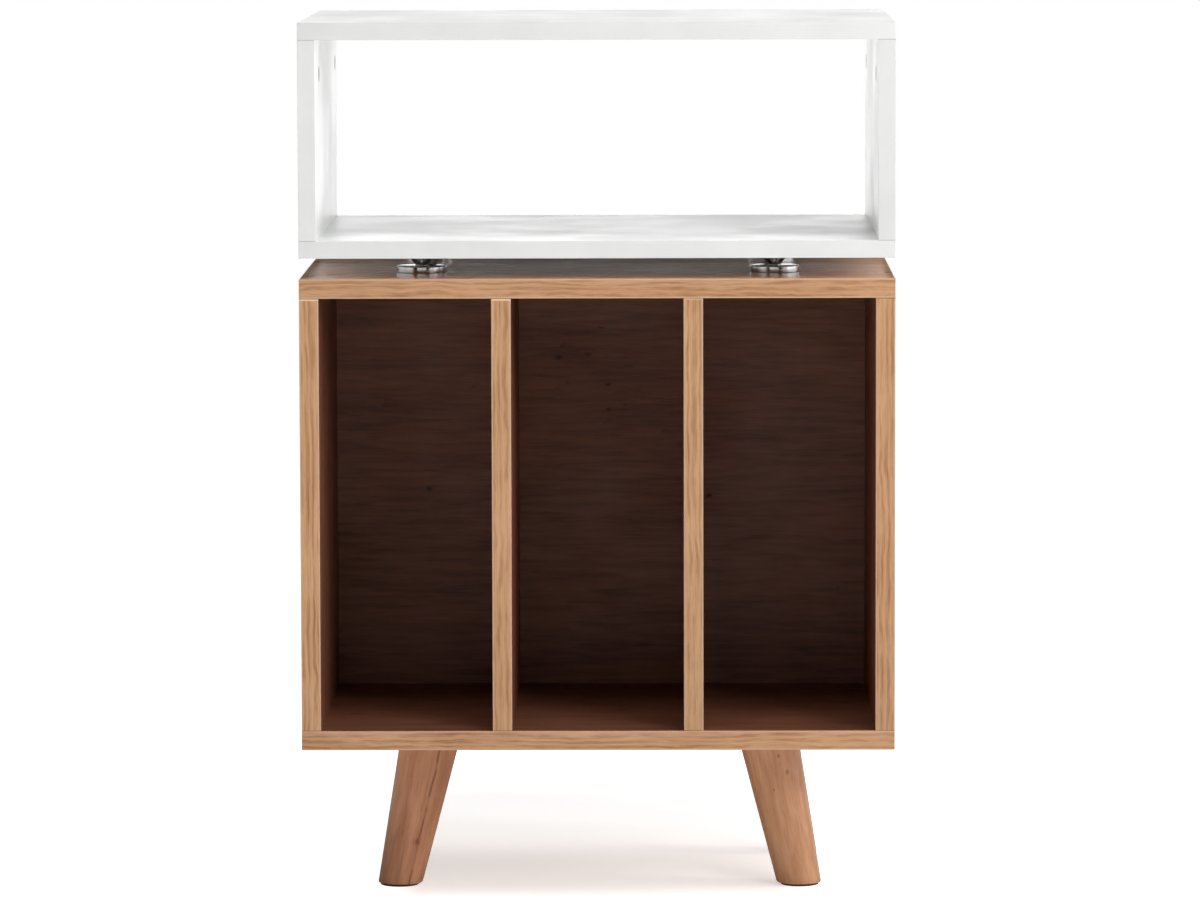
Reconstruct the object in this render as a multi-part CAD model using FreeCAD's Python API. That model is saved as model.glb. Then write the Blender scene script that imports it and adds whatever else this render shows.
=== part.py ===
import FreeCAD, Part
import math
import os

# Hi-fi stand: a hollow white shelf on four metal feet, above an oak record cabinet on splayed legs.
# Millimetres. The origin is on the floor under the middle. The open front looks along -Y, +Z is up.

Vector = FreeCAD.Vector

# Driving dimensions of the whole stand
overall_width = 550.0
overall_depth = 400.0
leg_height = 142.5
cabinet_height = 438.0
metal_foot_height = 19.0
shelf_height = 217.0
bay_count = 3

# Boards, their edge strips and the back panel
oak_board = 18.0
white_board = 16.0
edge_strip = 1.0
edge_bevel = 0.6
back_panel = 4.0
rear_recess = 61.0
groove_depth = 6.0
groove_play = 0.2

# Knock-down joints between the boards
cam_radius = 7.5
cam_front_inset = 75.0
cam_rear_inset = 30.0
cam_end_distance = 34.0
cam_past_axis = 4.5
cam_bolt_radius = 3.0
cam_bolt_grip = 11.0
dowel_radius = 4.0
dowel_length = 30.0
dowel_in_panel = 10.0
dowel_spacing = 32.0
screw_length = 50.0
screw_radius = 3.5
screw_head_radius = 5.0
screw_head_height = 3.0
joint_fit = 0.1

# Metal feet between cabinet and shelf, and the bolts through them
metal_foot_inset_x = 110.0
metal_foot_inset_y = 98.0
disc_radius = 23.0
disc_height = 6.0
neck_radius = 5.2
flare_radius = 17.5
waist_radius = 10.0
waist_share = 0.48
foot_bolt_radius = 3.0
foot_bolt_grip = 9.0
foot_bolt_head_radius = 5.5
foot_bolt_head = 3.5
foot_bolt_flange_radius = 8.0
foot_bolt_flange = 1.5
shelf_insert_radius = 5.0
shelf_insert_length = 12.0

# Legs, splayed to the sides only
leg_inset_x = 116.0
leg_inset_y = 105.5
leg_spread = 30.0
leg_top_radius = 27.9
leg_foot_radius = 20.4
leg_pad_height = 2.0
leg_pad_margin = 2.5
leg_bolt_radius = 4.0
leg_bolt_in_leg = 38.0
leg_bolt_in_panel = 12.0
leg_insert_radius = 6.0
leg_insert_length = 14.0

# Cutters run this far past the face they start from
overrun = 1.0

# Threaded and fluted bars, and the holes they sit in, have this many flat sides
bar_sides = 6

# Levels and edges worked out from the sizes above
front = -overall_depth / 2
back = overall_depth / 2
half_width = overall_width / 2
cabinet_bottom = leg_height
cabinet_top = cabinet_bottom + cabinet_height
shelf_bottom = cabinet_top + metal_foot_height
shelf_top = shelf_bottom + shelf_height
back_panel_rear = back - rear_recess
back_panel_front = back_panel_rear - back_panel

up = Vector(0, 0, 1)
down = Vector(0, 0, -1)
right = Vector(1, 0, 0)
left = Vector(-1, 0, 0)
rearward = Vector(0, 1, 0)
forward = Vector(0, -1, 0)


# Builders that the pieces share
def block(x_low, x_high, y_low, y_high, z_low, z_high):
    """Returns a box between the given faces."""
    size = (x_high - x_low, y_high - y_low, z_high - z_low)
    return Part.makeBox(*size, Vector(x_low, y_low, z_low))


def rod(start, direction, radius, length):
    """Returns a round bar that starts at a point and runs along a direction."""
    return Part.makeCylinder(radius, length, start, direction)


def bore(start, direction, radius, depth):
    """Returns the cutter of a round hole, which also clears the face that it starts in."""
    return rod(start - direction * overrun, direction, radius, depth + overrun)


def bar(start, direction, radius, length):
    """Returns a many-sided bar with its corners at a radius: a dowel, or the threaded part of a bolt."""
    turns = [2 * math.pi * k / bar_sides for k in range(bar_sides + 1)]
    corners = [Vector(radius * math.cos(t), radius * math.sin(t), 0) for t in turns]
    solid = Part.Face(Part.makePolygon(corners)).extrude(up * length)
    solid.Placement = FreeCAD.Placement(start, FreeCAD.Rotation(up, direction))
    return solid


def bar_hole(start, direction, radius, depth):
    """Returns the cutter of the hole that a bar fits, which also clears the face that it starts in."""
    return bar(start - direction * overrun, direction, radius + joint_fit, depth + overrun)


def sleeve(place, direction, outer, inner, length):
    """Returns an insert: a many-sided sleeve with the hole that a bar fits."""
    body = bar(place, direction, outer, length)
    return carved(body, [bar_hole(place, direction, inner, length + overrun)])


def turned(profile, place):
    """Turns a closed outline of (radius, height) points round an upright axis through a place."""
    points = [Vector(radius, 0, height) for radius, height in profile]
    solid = Part.Face(Part.makePolygon(points + points[:1])).revolve(Vector(0, 0, 0), up, 360)
    solid.translate(place)
    return solid


def carved(body, cutters):
    """Returns a body with all the cutters taken out of it."""
    return body.cut(cutters).removeSplitter() if cutters else body


def one(shape):
    """Returns the single solid of a shape."""
    return shape.Solids[0] if len(shape.Solids) == 1 else shape


def group(solids):
    """Returns several separate solids as one set."""
    return Part.makeCompound([one(s) for s in solids])


# Edge strips: flat glue face, and long outer edges that are broken
def strip(corner, along, across, outward, length, thickness):
    """Returns a strip whose glue face starts at a corner and spans along and across."""
    bevel = min(edge_bevel, edge_strip)
    section = [(0, 0), (0, edge_strip - bevel), (bevel, edge_strip), (thickness - bevel, edge_strip),
              (thickness, edge_strip - bevel), (thickness, 0), (0, 0)]
    points = [corner + across * a + outward * b for a, b in section]
    outline = [p for p, q in zip(points, points[1:]) if (q - p).Length > 0]
    return Part.Face(Part.makePolygon(outline + outline[:1])).extrude(along * length)


def panel_strips(z_low, board):
    """Returns the four strips round a level panel: front and back full width, sides between them."""
    inner_x = half_width - edge_strip
    inner_depth = overall_depth - 2 * edge_strip
    inner_front = front + edge_strip
    inner_back = back - edge_strip
    return group([
        strip(Vector(-half_width, inner_front, z_low), right, up, forward, overall_width, board),
        strip(Vector(-half_width, inner_back, z_low), right, up, rearward, overall_width, board),
        strip(Vector(-inner_x, inner_front, z_low), rearward, up, left, inner_depth, board),
        strip(Vector(inner_x, inner_front, z_low), rearward, up, right, inner_depth, board),
    ])


# An upright board stands between a bottom and a top panel
class Upright:
    """The place of one upright board: its faces, its ends, and where its fasteners and dowels sit."""

    def __init__(self, x_low, board, z_low, z_high, rear, fastener_ys, dowel_ys):
        self.x_low = x_low
        self.x_high = x_low + board
        self.middle = x_low + board / 2
        self.z_low = z_low
        self.z_high = z_high
        self.rear = rear
        self.board = board
        self.fastener_ys = fastener_ys
        self.dowel_ys = dowel_ys

    def inner_face(self):
        """Returns the face of a side that looks into the case, and the way that it looks."""
        return (self.x_high, right) if self.middle < 0 else (self.x_low, left)


def case_sides(z_low, z_high, board, rear_fastener, rear_dowel):
    """Returns the left and right side of a case between two levels."""
    near = front + cam_front_inset
    rows = ((near, rear_fastener), (near + dowel_spacing, rear_dowel))
    return [Upright(x_low, board, z_low + board, z_high - board, back, *rows)
            for x_low in (-half_width, half_width - board)]


def case_dividers():
    """Returns the dividers, which part the cabinet into equal bays in front of the back panel."""
    bay_width = (overall_width - (bay_count + 1) * oak_board) / bay_count
    dowel_ys = (front + cam_front_inset, back_panel_front - dowel_spacing)
    return [Upright(-half_width + k * (bay_width + oak_board), oak_board, cabinet_bottom + oak_board,
                    cabinet_top - oak_board, back_panel_front, (), dowel_ys)
            for k in range(1, bay_count)]


shelf_sides = case_sides(shelf_bottom, shelf_top, white_board,
                         back - cam_rear_inset, back - cam_rear_inset - dowel_spacing)
cabinet_sides = case_sides(cabinet_bottom, cabinet_top, oak_board,
                           (back_panel_rear + back) / 2, back_panel_front - dowel_spacing)
dividers = case_dividers()


def upright_strips(upright, with_rear):
    """Returns the strip down the front edge of an upright, and the one down its back edge."""
    length = upright.z_high - upright.z_low
    corner = Vector(upright.x_low, front + edge_strip, upright.z_low)
    strips = [strip(corner, up, right, forward, length, upright.board)]
    if with_rear:
        corner = Vector(upright.x_low, upright.rear - edge_strip, upright.z_low)
        strips.append(strip(corner, up, right, rearward, length, upright.board))
    return group(strips)


# Cam joints: a bolt in the panel above, held by a round cam in the upright
def cam_height(upright):
    """Returns how far a cam reaches into its board: just past the bolt's axis."""
    return upright.board / 2 + cam_past_axis


def cam_axis_z(upright):
    """Returns the level of an upright's cams."""
    return upright.z_high - cam_end_distance


def cam_lock(upright, y):
    """Returns a cam: a short cylinder, flush with the face of its board."""
    face, outward = upright.inner_face()
    return rod(Vector(face, y, cam_axis_z(upright)), -outward, cam_radius, cam_height(upright))


def cam_bolt(upright, y):
    """Returns the bolt that hangs from the panel above and ends at the cam."""
    length = cam_bolt_grip + cam_end_distance - cam_radius
    return bar(Vector(upright.middle, y, upright.z_high + cam_bolt_grip), down, cam_bolt_radius, length)


def cam_cuts(upright):
    """Returns the cam bores and bolt holes of an upright."""
    face, outward = upright.inner_face()
    cuts = []
    for y in upright.fastener_ys:
        cam_place = Vector(face, y, cam_axis_z(upright))
        cuts.append(bore(cam_place, -outward, cam_radius + joint_fit, cam_height(upright)))
        end = Vector(upright.middle, y, upright.z_high)
        cuts.append(bar_hole(end, down, cam_bolt_radius, cam_end_distance - cam_radius))
    return cuts


# Dowels and long screws
def dowel(upright, y, end_z, direction):
    """Returns a dowel that stands out of an upright's end into the panel beyond it."""
    start = Vector(upright.middle, y, end_z) + direction * dowel_in_panel
    return bar(start, -direction, dowel_radius, dowel_length)


def dowel_cuts_in_upright(upright, end_z, direction):
    """Returns the two dowel holes in one end of an upright."""
    depth = dowel_length - dowel_in_panel
    return [bar_hole(Vector(upright.middle, y, end_z), -direction, dowel_radius, depth)
            for y in upright.dowel_ys]


def dowel_cuts_in_panel(upright, end_z, direction):
    """Returns the two dowel holes in the panel at one end of an upright."""
    return [bar_hole(Vector(upright.middle, y, end_z), direction, dowel_radius, dowel_in_panel)
            for y in upright.dowel_ys]


def long_screw(upright, y, panel):
    """Returns a flat-headed screw driven up through the bottom panel into an upright."""
    place = Vector(upright.middle, y, upright.z_low - panel)
    head = bar(place, up, screw_head_radius, screw_head_height)
    return head.fuse(bar(place, up, screw_radius, screw_length)).removeSplitter()


def screw_cuts_in_panel(upright, panel):
    """Returns the counterbored through holes in the bottom panel under an upright."""
    cuts = []
    for y in upright.fastener_ys:
        place = Vector(upright.middle, y, upright.z_low - panel)
        cuts.append(bar_hole(place, up, screw_head_radius, screw_head_height))
        cuts.append(bar_hole(place, up, screw_radius, panel + overrun))
    return cuts


def screw_cuts_in_upright(upright, panel):
    """Returns the screw holes in the lower end of an upright."""
    return [bar_hole(Vector(upright.middle, y, upright.z_low), up, screw_radius, screw_length - panel)
            for y in upright.fastener_ys]


# Panels and uprights of both cases
def level_core(z_low, board):
    """Returns a level panel inside its edge strips."""
    x = half_width - edge_strip
    return block(-x, x, front + edge_strip, back - edge_strip, z_low, z_low + board)


def groove_ring(inner_low, inner_high):
    """Returns the cutter of the groove that the back panel stands in, round the inside of a case."""
    x = half_width - oak_board + groove_depth
    return block(-x, x, back_panel_front - groove_play, back_panel_rear + groove_play,
                 inner_low - groove_depth, inner_high + groove_depth)


def top_panel(z_low, board, cam_uprights, dowelled, more_cuts):
    """Returns a top panel with the blind holes for cam bolts and dowels in its underside."""
    cuts = list(more_cuts)
    for upright in cam_uprights:
        cuts += [bar_hole(Vector(upright.middle, y, z_low), up, cam_bolt_radius, cam_bolt_grip)
                 for y in upright.fastener_ys]
    for upright in dowelled:
        cuts += dowel_cuts_in_panel(upright, z_low, up)
    return carved(level_core(z_low, board), cuts)


def bottom_panel(z_low, board, screwed, dowelled, more_cuts):
    """Returns a bottom panel with the holes for the long screws and the dowel holes."""
    cuts = list(more_cuts)
    for upright in screwed:
        cuts += screw_cuts_in_panel(upright, board)
    for upright in dowelled:
        cuts += dowel_cuts_in_panel(upright, z_low + board, down)
    return carved(level_core(z_low, board), cuts)


def side_panel(upright, more_cuts):
    """Returns a side: cams and dowels at its top, long screws at its bottom."""
    core = block(upright.x_low, upright.x_high, front + edge_strip, upright.rear - edge_strip,
                 upright.z_low, upright.z_high)
    cuts = cam_cuts(upright) + dowel_cuts_in_upright(upright, upright.z_high, up)
    cuts += screw_cuts_in_upright(upright, upright.board)
    return carved(core, cuts + more_cuts)


def divider_panel(upright):
    """Returns a divider, dowelled at both ends, that reaches back to the back panel."""
    core = block(upright.x_low, upright.x_high, front + edge_strip, upright.rear,
                 upright.z_low, upright.z_high)
    cuts = dowel_cuts_in_upright(upright, upright.z_high, up)
    cuts += dowel_cuts_in_upright(upright, upright.z_low, down)
    return carved(core, cuts)


def back_panel_board():
    """Returns the thin back panel, which stands in the grooves with a little play."""
    reach = groove_depth - groove_play
    x = half_width - oak_board + reach
    return block(-x, x, back_panel_front, back_panel_rear,
                 cabinet_bottom + oak_board - reach, cabinet_top - oak_board + reach)


# Metal feet
metal_foot_places = [Vector(sx * (half_width - metal_foot_inset_x), sy * (back - metal_foot_inset_y), cabinet_top)
                     for sy in (-1, 1) for sx in (-1, 1)]


def metal_foot(place):
    """Returns a turned foot: a flat disc and a hollow-flanked neck that flares up to the shelf."""
    waist_height = disc_height + (metal_foot_height - disc_height) * waist_share
    profile = [(0, 0), (disc_radius, 0), (disc_radius, disc_height), (neck_radius, disc_height),
               (waist_radius, waist_height), (flare_radius, metal_foot_height), (0, metal_foot_height)]
    way = bar_hole(place, up, foot_bolt_radius, metal_foot_height + overrun)
    return carved(turned(profile, place), [way])


def foot_bolt(place):
    """Returns the flanged bolt driven up through the cabinet top and the foot into the shelf."""
    low = place - up * (oak_board + foot_bolt_flange + foot_bolt_head)
    reach = foot_bolt_head + foot_bolt_flange + oak_board + metal_foot_height + foot_bolt_grip
    head = bar(low, up, foot_bolt_head_radius, foot_bolt_head)
    flange = bar(low + up * foot_bolt_head, up, foot_bolt_flange_radius, foot_bolt_flange)
    return flange.fuse([head, bar(low, up, foot_bolt_radius, reach)]).removeSplitter()


def shelf_insert(place):
    """Returns the threaded insert let into the shelf's underside above a foot."""
    return sleeve(place + up * metal_foot_height, up, shelf_insert_radius, foot_bolt_radius, shelf_insert_length)


# Legs
class Leg:
    """The line of one splayed leg, from its middle on the floor to its middle under the cabinet."""

    def __init__(self, sx, sy):
        top_x = half_width - leg_inset_x
        top_y = back - leg_inset_y
        self.top = Vector(sx * top_x, sy * top_y, leg_height)
        self.foot = Vector(sx * (top_x + leg_spread), sy * top_y, 0)

    def at(self, z):
        """Returns the leg's middle at a height."""
        return self.foot + (self.top - self.foot) * (z / leg_height)

    def radius(self, z):
        """Returns the leg's radius at a height."""
        return leg_foot_radius + (leg_top_radius - leg_foot_radius) * z / leg_height


legs = [Leg(sx, sy) for sy in (-1, 1) for sx in (-1, 1)]


def wooden_leg(leg):
    """Returns a straight taper on a leaning axis, cut level at both ends."""
    low = -leg_foot_radius
    high = leg_height + leg_top_radius
    axis = leg.top - leg.foot
    length = axis.Length * (high - low) / leg_height
    cone = Part.makeCone(leg.radius(low), leg.radius(high), length, leg.at(low), axis)
    reach = 2 * (leg_top_radius + leg_spread)
    x, y = leg.foot.x, leg.foot.y
    slab = block(x - reach, x + reach, y - reach, y + reach, leg_pad_height, leg_height)
    return carved(cone.common(slab), [bar_hole(leg.top, down, leg_bolt_radius, leg_bolt_in_leg)])


def leg_pad(leg):
    """Returns the round pad under a leg."""
    place = leg.at(0)
    return rod(Vector(place.x, place.y, 0), up, leg_foot_radius - leg_pad_margin, leg_pad_height)


def leg_bolt(leg):
    """Returns the headless bolt that stands in a leg and screws into the cabinet's bottom."""
    return bar(leg.top - up * leg_bolt_in_leg, up, leg_bolt_radius, leg_bolt_in_leg + leg_bolt_in_panel)


def leg_insert(leg):
    """Returns the threaded insert let into the cabinet's underside above a leg."""
    return sleeve(leg.top, up, leg_insert_radius, leg_bolt_radius, leg_insert_length)


# The whole stand
def shelf_pieces():
    """Returns the white shelf's boards, strips and fasteners."""
    low_under = shelf_top - white_board
    insert_cuts = [bar_hole(place + up * metal_foot_height, up, shelf_insert_radius, shelf_insert_length)
                   for place in metal_foot_places]
    pieces = {
        "shelf_top_panel": top_panel(low_under, white_board, shelf_sides, shelf_sides, []),
        "shelf_bottom_panel": bottom_panel(shelf_bottom, white_board, shelf_sides, [], insert_cuts),
        "shelf_top_edging": panel_strips(low_under, white_board),
        "shelf_bottom_edging": panel_strips(shelf_bottom, white_board),
        "shelf_screws": group([long_screw(u, y, white_board) for u in shelf_sides for y in u.fastener_ys]),
        "shelf_cam_locks": group([cam_lock(u, y) for u in shelf_sides for y in u.fastener_ys]),
        "shelf_cam_bolts": group([cam_bolt(u, y) for u in shelf_sides for y in u.fastener_ys]),
        "shelf_dowels": group([dowel(u, y, u.z_high, up) for u in shelf_sides for y in u.dowel_ys]),
        "shelf_inserts": group([shelf_insert(place) for place in metal_foot_places]),
    }
    for name, upright in zip(("left", "right"), shelf_sides):
        pieces[f"shelf_{name}_side"] = side_panel(upright, [])
        pieces[f"shelf_{name}_edging"] = upright_strips(upright, True)
    return pieces


def cabinet_pieces():
    """Returns the oak cabinet's boards, strips and fasteners."""
    under_top = cabinet_top - oak_board
    over_bottom = cabinet_bottom + oak_board
    groove = groove_ring(over_bottom, under_top)
    bolt_cuts = [bar_hole(place, down, foot_bolt_radius, oak_board + overrun) for place in metal_foot_places]
    insert_cuts = [bar_hole(leg.top, up, leg_insert_radius, leg_insert_length) for leg in legs]
    top_cuts = bolt_cuts + [groove]
    bottom_cuts = insert_cuts + [groove]
    pieces = {
        "cabinet_top_panel": top_panel(under_top, oak_board, cabinet_sides, [*cabinet_sides, *dividers], top_cuts),
        "cabinet_bottom_panel": bottom_panel(cabinet_bottom, oak_board, cabinet_sides, dividers, bottom_cuts),
        "cabinet_top_edging": panel_strips(under_top, oak_board),
        "cabinet_bottom_edging": panel_strips(cabinet_bottom, oak_board),
        "cabinet_back_panel": back_panel_board(),
        "cabinet_screws": group([long_screw(u, y, oak_board) for u in cabinet_sides for y in u.fastener_ys]),
        "cabinet_cam_locks": group([cam_lock(u, y) for u in cabinet_sides for y in u.fastener_ys]),
        "cabinet_cam_bolts": group([cam_bolt(u, y) for u in cabinet_sides for y in u.fastener_ys]),
        "cabinet_dowels": group([dowel(u, y, u.z_high, up) for u in cabinet_sides for y in u.dowel_ys]),
        "divider_dowels": group([dowel(u, y, z, way) for u in dividers for y in u.dowel_ys
                                 for z, way in ((u.z_high, up), (u.z_low, down))]),
    }
    for name, upright in zip(("left", "right"), cabinet_sides):
        pieces[f"cabinet_{name}_side"] = side_panel(upright, [groove])
        pieces[f"cabinet_{name}_edging"] = upright_strips(upright, True)
    for number, upright in enumerate(dividers, 1):
        pieces[f"divider_{number}"] = divider_panel(upright)
        pieces[f"divider_{number}_edging"] = upright_strips(upright, False)
    return pieces


def standing_pieces():
    """Returns the metal feet, the legs and what holds them."""
    return {
        "metal_foot_bolts": group([foot_bolt(place) for place in metal_foot_places]),
        "leg_bolts": group([leg_bolt(leg) for leg in legs]),
        "leg_inserts": group([leg_insert(leg) for leg in legs]),
        "leg_pads": group([leg_pad(leg) for leg in legs]),
        "metal_feet": group([metal_foot(place) for place in metal_foot_places]),
        "front_legs": group([wooden_leg(leg) for leg in legs if leg.foot.y < 0]),
        "rear_legs": group([wooden_leg(leg) for leg in legs if leg.foot.y > 0]),
    }


os.makedirs("parts", exist_ok=True)
for name, shape in {**shelf_pieces(), **cabinet_pieces(), **standing_pieces()}.items():
    shape = one(shape)
    shape.exportStep(f"parts/{name}.step")
    print(f"{name}: {len(shape.Solids)} solid(s), {shape.Volume / 1000:.1f} cm3")
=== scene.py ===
"""Looks of a hi-fi stand: a white shelf on metal feet above an oak record cabinet on splayed legs.

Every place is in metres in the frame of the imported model. The origin lies on the floor under the middle, the open
front looks along -Y and +Z is up.
"""
import logging
import math
from collections.abc import Callable, Mapping, Sequence
from dataclasses import dataclass, field
from enum import Enum
from functools import partialmethod
from typing import Any, ClassVar

import bmesh
import bpy
from mathutils import Matrix, Vector


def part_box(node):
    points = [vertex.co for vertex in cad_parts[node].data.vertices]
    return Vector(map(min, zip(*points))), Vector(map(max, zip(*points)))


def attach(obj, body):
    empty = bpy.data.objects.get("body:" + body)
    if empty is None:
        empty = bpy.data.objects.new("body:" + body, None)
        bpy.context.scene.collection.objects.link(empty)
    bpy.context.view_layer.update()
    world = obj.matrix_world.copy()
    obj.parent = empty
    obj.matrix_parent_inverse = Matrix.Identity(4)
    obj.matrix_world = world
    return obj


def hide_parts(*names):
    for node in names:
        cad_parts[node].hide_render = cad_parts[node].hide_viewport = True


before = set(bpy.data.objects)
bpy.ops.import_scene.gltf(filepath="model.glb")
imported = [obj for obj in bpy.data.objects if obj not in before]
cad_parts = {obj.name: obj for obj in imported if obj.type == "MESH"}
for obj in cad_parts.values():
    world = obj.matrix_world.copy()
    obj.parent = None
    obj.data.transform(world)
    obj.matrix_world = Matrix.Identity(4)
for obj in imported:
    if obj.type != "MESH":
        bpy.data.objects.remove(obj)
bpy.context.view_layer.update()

MM = 0.001
BODY = "root"
SHARP_ANGLE = math.radians(32)
UP, RIGHT, REAR = Vector((0, 0, 1)), Vector((1, 0, 0)), Vector((0, 1, 0))
CORNERS = [(f"{depth}_{side}", sx, sy)
           for depth, sy in (("front", -1), ("rear", 1)) for side, sx in (("left", -1), ("right", 1))]
SQUARE = ((-1, -1), (1, -1), (1, 1), (-1, 1))

log = logging.getLogger("hi_fi_stand")

Colour = tuple[float, float, float, float]
Point = tuple[float, float, float]
Pair = tuple[float, float]


def tint(red: int, green: int, blue: int) -> Colour:
    """Turns a display colour into the linear colour that a shader takes.

    Args:
        red: Red of the display colour, 0 to 255.
        green: Green of the display colour, 0 to 255.
        blue: Blue of the display colour, 0 to 255.

    Returns:
        The linear colour, with a fourth value of 1.
    """
    linear = [(v / 3294.6) if v <= 10 else ((v / 255 + 0.055) / 1.055) ** 2.4 for v in (red, green, blue)]
    return linear[0], linear[1], linear[2], 1.0


class Run(Enum):
    """The axis that a grain follows."""

    ACROSS = "X"
    DEEP = "Y"
    UPRIGHT = "Z"


class Port(Enum):
    """What a socket of a shared effect carries."""

    VALUE = "NodeSocketFloat"
    VECTOR = "NodeSocketVector"
    COLOUR = "NodeSocketColor"

    @classmethod
    def of(cls, value: float | Sequence[float]) -> "Port":
        """Returns the kind of socket that a plain value fits."""
        return cls.VALUE if isinstance(value, float) else cls.VECTOR if len(value) == 3 else cls.COLOUR


# Shader nodes


class Wire:
    """An output socket to reckon with: each +, -, * and / adds a node to the tree that it is in."""

    def __init__(self, bench: "Bench", socket: bpy.types.NodeSocket) -> None:
        """Holds a socket and the bench of its tree."""
        self.bench, self.socket = bench, socket

    def reckon(self, operation: str, turned: bool, other: "Feed") -> "Wire":
        """Joins the wire with another feed, as values or as vectors.

        Args:
            operation: The node's operation.
            turned: Whether the other feed comes first.
            other: The other feed.

        Returns:
            The result.
        """
        kind = "ShaderNodeMath" if self.socket.type == "VALUE" else "ShaderNodeVectorMath"
        return self.bench.wire(kind, dict(enumerate((other, self) if turned else (self, other))), operation=operation)

    __add__ = partialmethod(reckon, "ADD", False)
    __sub__ = partialmethod(reckon, "SUBTRACT", False)
    __rsub__ = partialmethod(reckon, "SUBTRACT", True)
    __mul__ = partialmethod(reckon, "MULTIPLY", False)
    __truediv__ = partialmethod(reckon, "DIVIDE", False)
    __rtruediv__ = partialmethod(reckon, "DIVIDE", True)


Feed = Wire | float | Sequence[float]
Feeds = Mapping[str | int, Feed]


class Bench:
    """A node tree under construction, with short ways to add and wire its nodes."""

    def __init__(self, tree: bpy.types.NodeTree) -> None:
        """Starts on the tree of a material, a world or a group."""
        self.tree = tree

    @classmethod
    def cleared(cls, holder: bpy.types.Material | bpy.types.World) -> "Bench":
        """Empties the tree of a material or a world.

        Args:
            holder: The material or the world.

        Returns:
            A bench on its tree.
        """
        holder.use_nodes = True
        holder.node_tree.nodes.clear()
        return cls(holder.node_tree)

    def node(self, kind: str, feeds: Feeds | None = None, **settings: Any) -> bpy.types.Node:
        """Adds a node.

        Args:
            kind: The node's type name.
            feeds: What goes into its inputs, by name or number: a wire, or a plain value.
            settings: The node's own options.

        Returns:
            The new node.
        """
        made = self.tree.nodes.new(kind)
        made.location = (190 * len(self.tree.nodes), 0)
        for option, value in settings.items():
            setattr(made, option, value)
        for key, value in (feeds or {}).items():
            if isinstance(value, Wire):
                self.tree.links.new(value.socket, made.inputs[key])
            else:
                made.inputs[key].default_value = value
        return made

    def wire(self, kind: str, feeds: Feeds, output: int | str = 0, **settings: Any) -> Wire:
        """Adds a node and returns one of its outputs."""
        return Wire(self, self.node(kind, feeds, **settings).outputs[output])

    def wires(self, kind: str, feeds: Feeds | None = None, **settings: Any) -> dict[str, Wire]:
        """Adds a node and returns its outputs by name."""
        return {socket.name: Wire(self, socket) for socket in self.node(kind, feeds, **settings).outputs}

    def sum(self, operation: str, *values: Feed, clamp: bool = False) -> Wire:
        """Returns the result of a Math node, such as SINE or MAXIMUM."""
        return self.wire("ShaderNodeMath", dict(enumerate(values)), operation=operation, use_clamp=clamp)

    def length(self, value: Feed) -> Wire:
        """Returns the length of a vector."""
        return self.wire("ShaderNodeVectorMath", {0: value}, "Value", operation="LENGTH")

    def join(self, x: Feed, y: Feed, z: Feed) -> Wire:
        """Returns a vector of three values."""
        return self.wire("ShaderNodeCombineXYZ", {0: x, 1: y, 2: z})

    def split(self, value: Feed) -> list[Wire]:
        """Returns the three values of a vector."""
        return list(self.wires("ShaderNodeSeparateXYZ", {0: value}).values())

    def ease(self, value: Feed, low: float, high: float, start: float = 0.0, end: float = 1.0) -> Wire:
        """Returns a value that runs smoothly from start, at low and before it, to end, at high and past it."""
        feeds = {0: value, 1: low, 2: high, 3: start, 4: end}
        return self.wire("ShaderNodeMapRange", feeds, interpolation_type="SMOOTHSTEP")

    def blend(self, share: Feed, first: Feed, second: Feed) -> Wire:
        """Returns a colour between two colours."""
        return self.wire("ShaderNodeMix", {0: share, 6: first, 7: second}, 2, data_type="RGBA")

    def between(self, share: Feed, first: Feed, second: Feed) -> Wire:
        """Returns a value between two values."""
        return self.wire("ShaderNodeMix", {0: share, 2: first, 3: second}, data_type="FLOAT")

    def noise(self, place: Feed, scale: float = 1.0, detail: float = 2.0, roughness: float = 0.5) -> Wire:
        """Returns a smooth noise from 0 to 1 over a place."""
        feeds = {"Vector": place, "Scale": scale, "Detail": detail, "Roughness": roughness}
        return self.wire("ShaderNodeTexNoise", feeds, "Fac")

    def millimetres(self, run: Run = Run.ACROSS) -> Wire:
        """Finds the place on the piece in millimetres.

        Args:
            run: The axis that the grain follows.

        Returns:
            The place, turned so that X is along the grain.
        """
        x, y, z = self.split(self.wires("ShaderNodeTexCoord")["Object"] * (1 / MM, 1 / MM, 1 / MM))
        turned = {Run.ACROSS: (x, y, z), Run.DEEP: (y, z, x), Run.UPRIGHT: (z, x, y)}
        return self.join(*turned[run])


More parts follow.
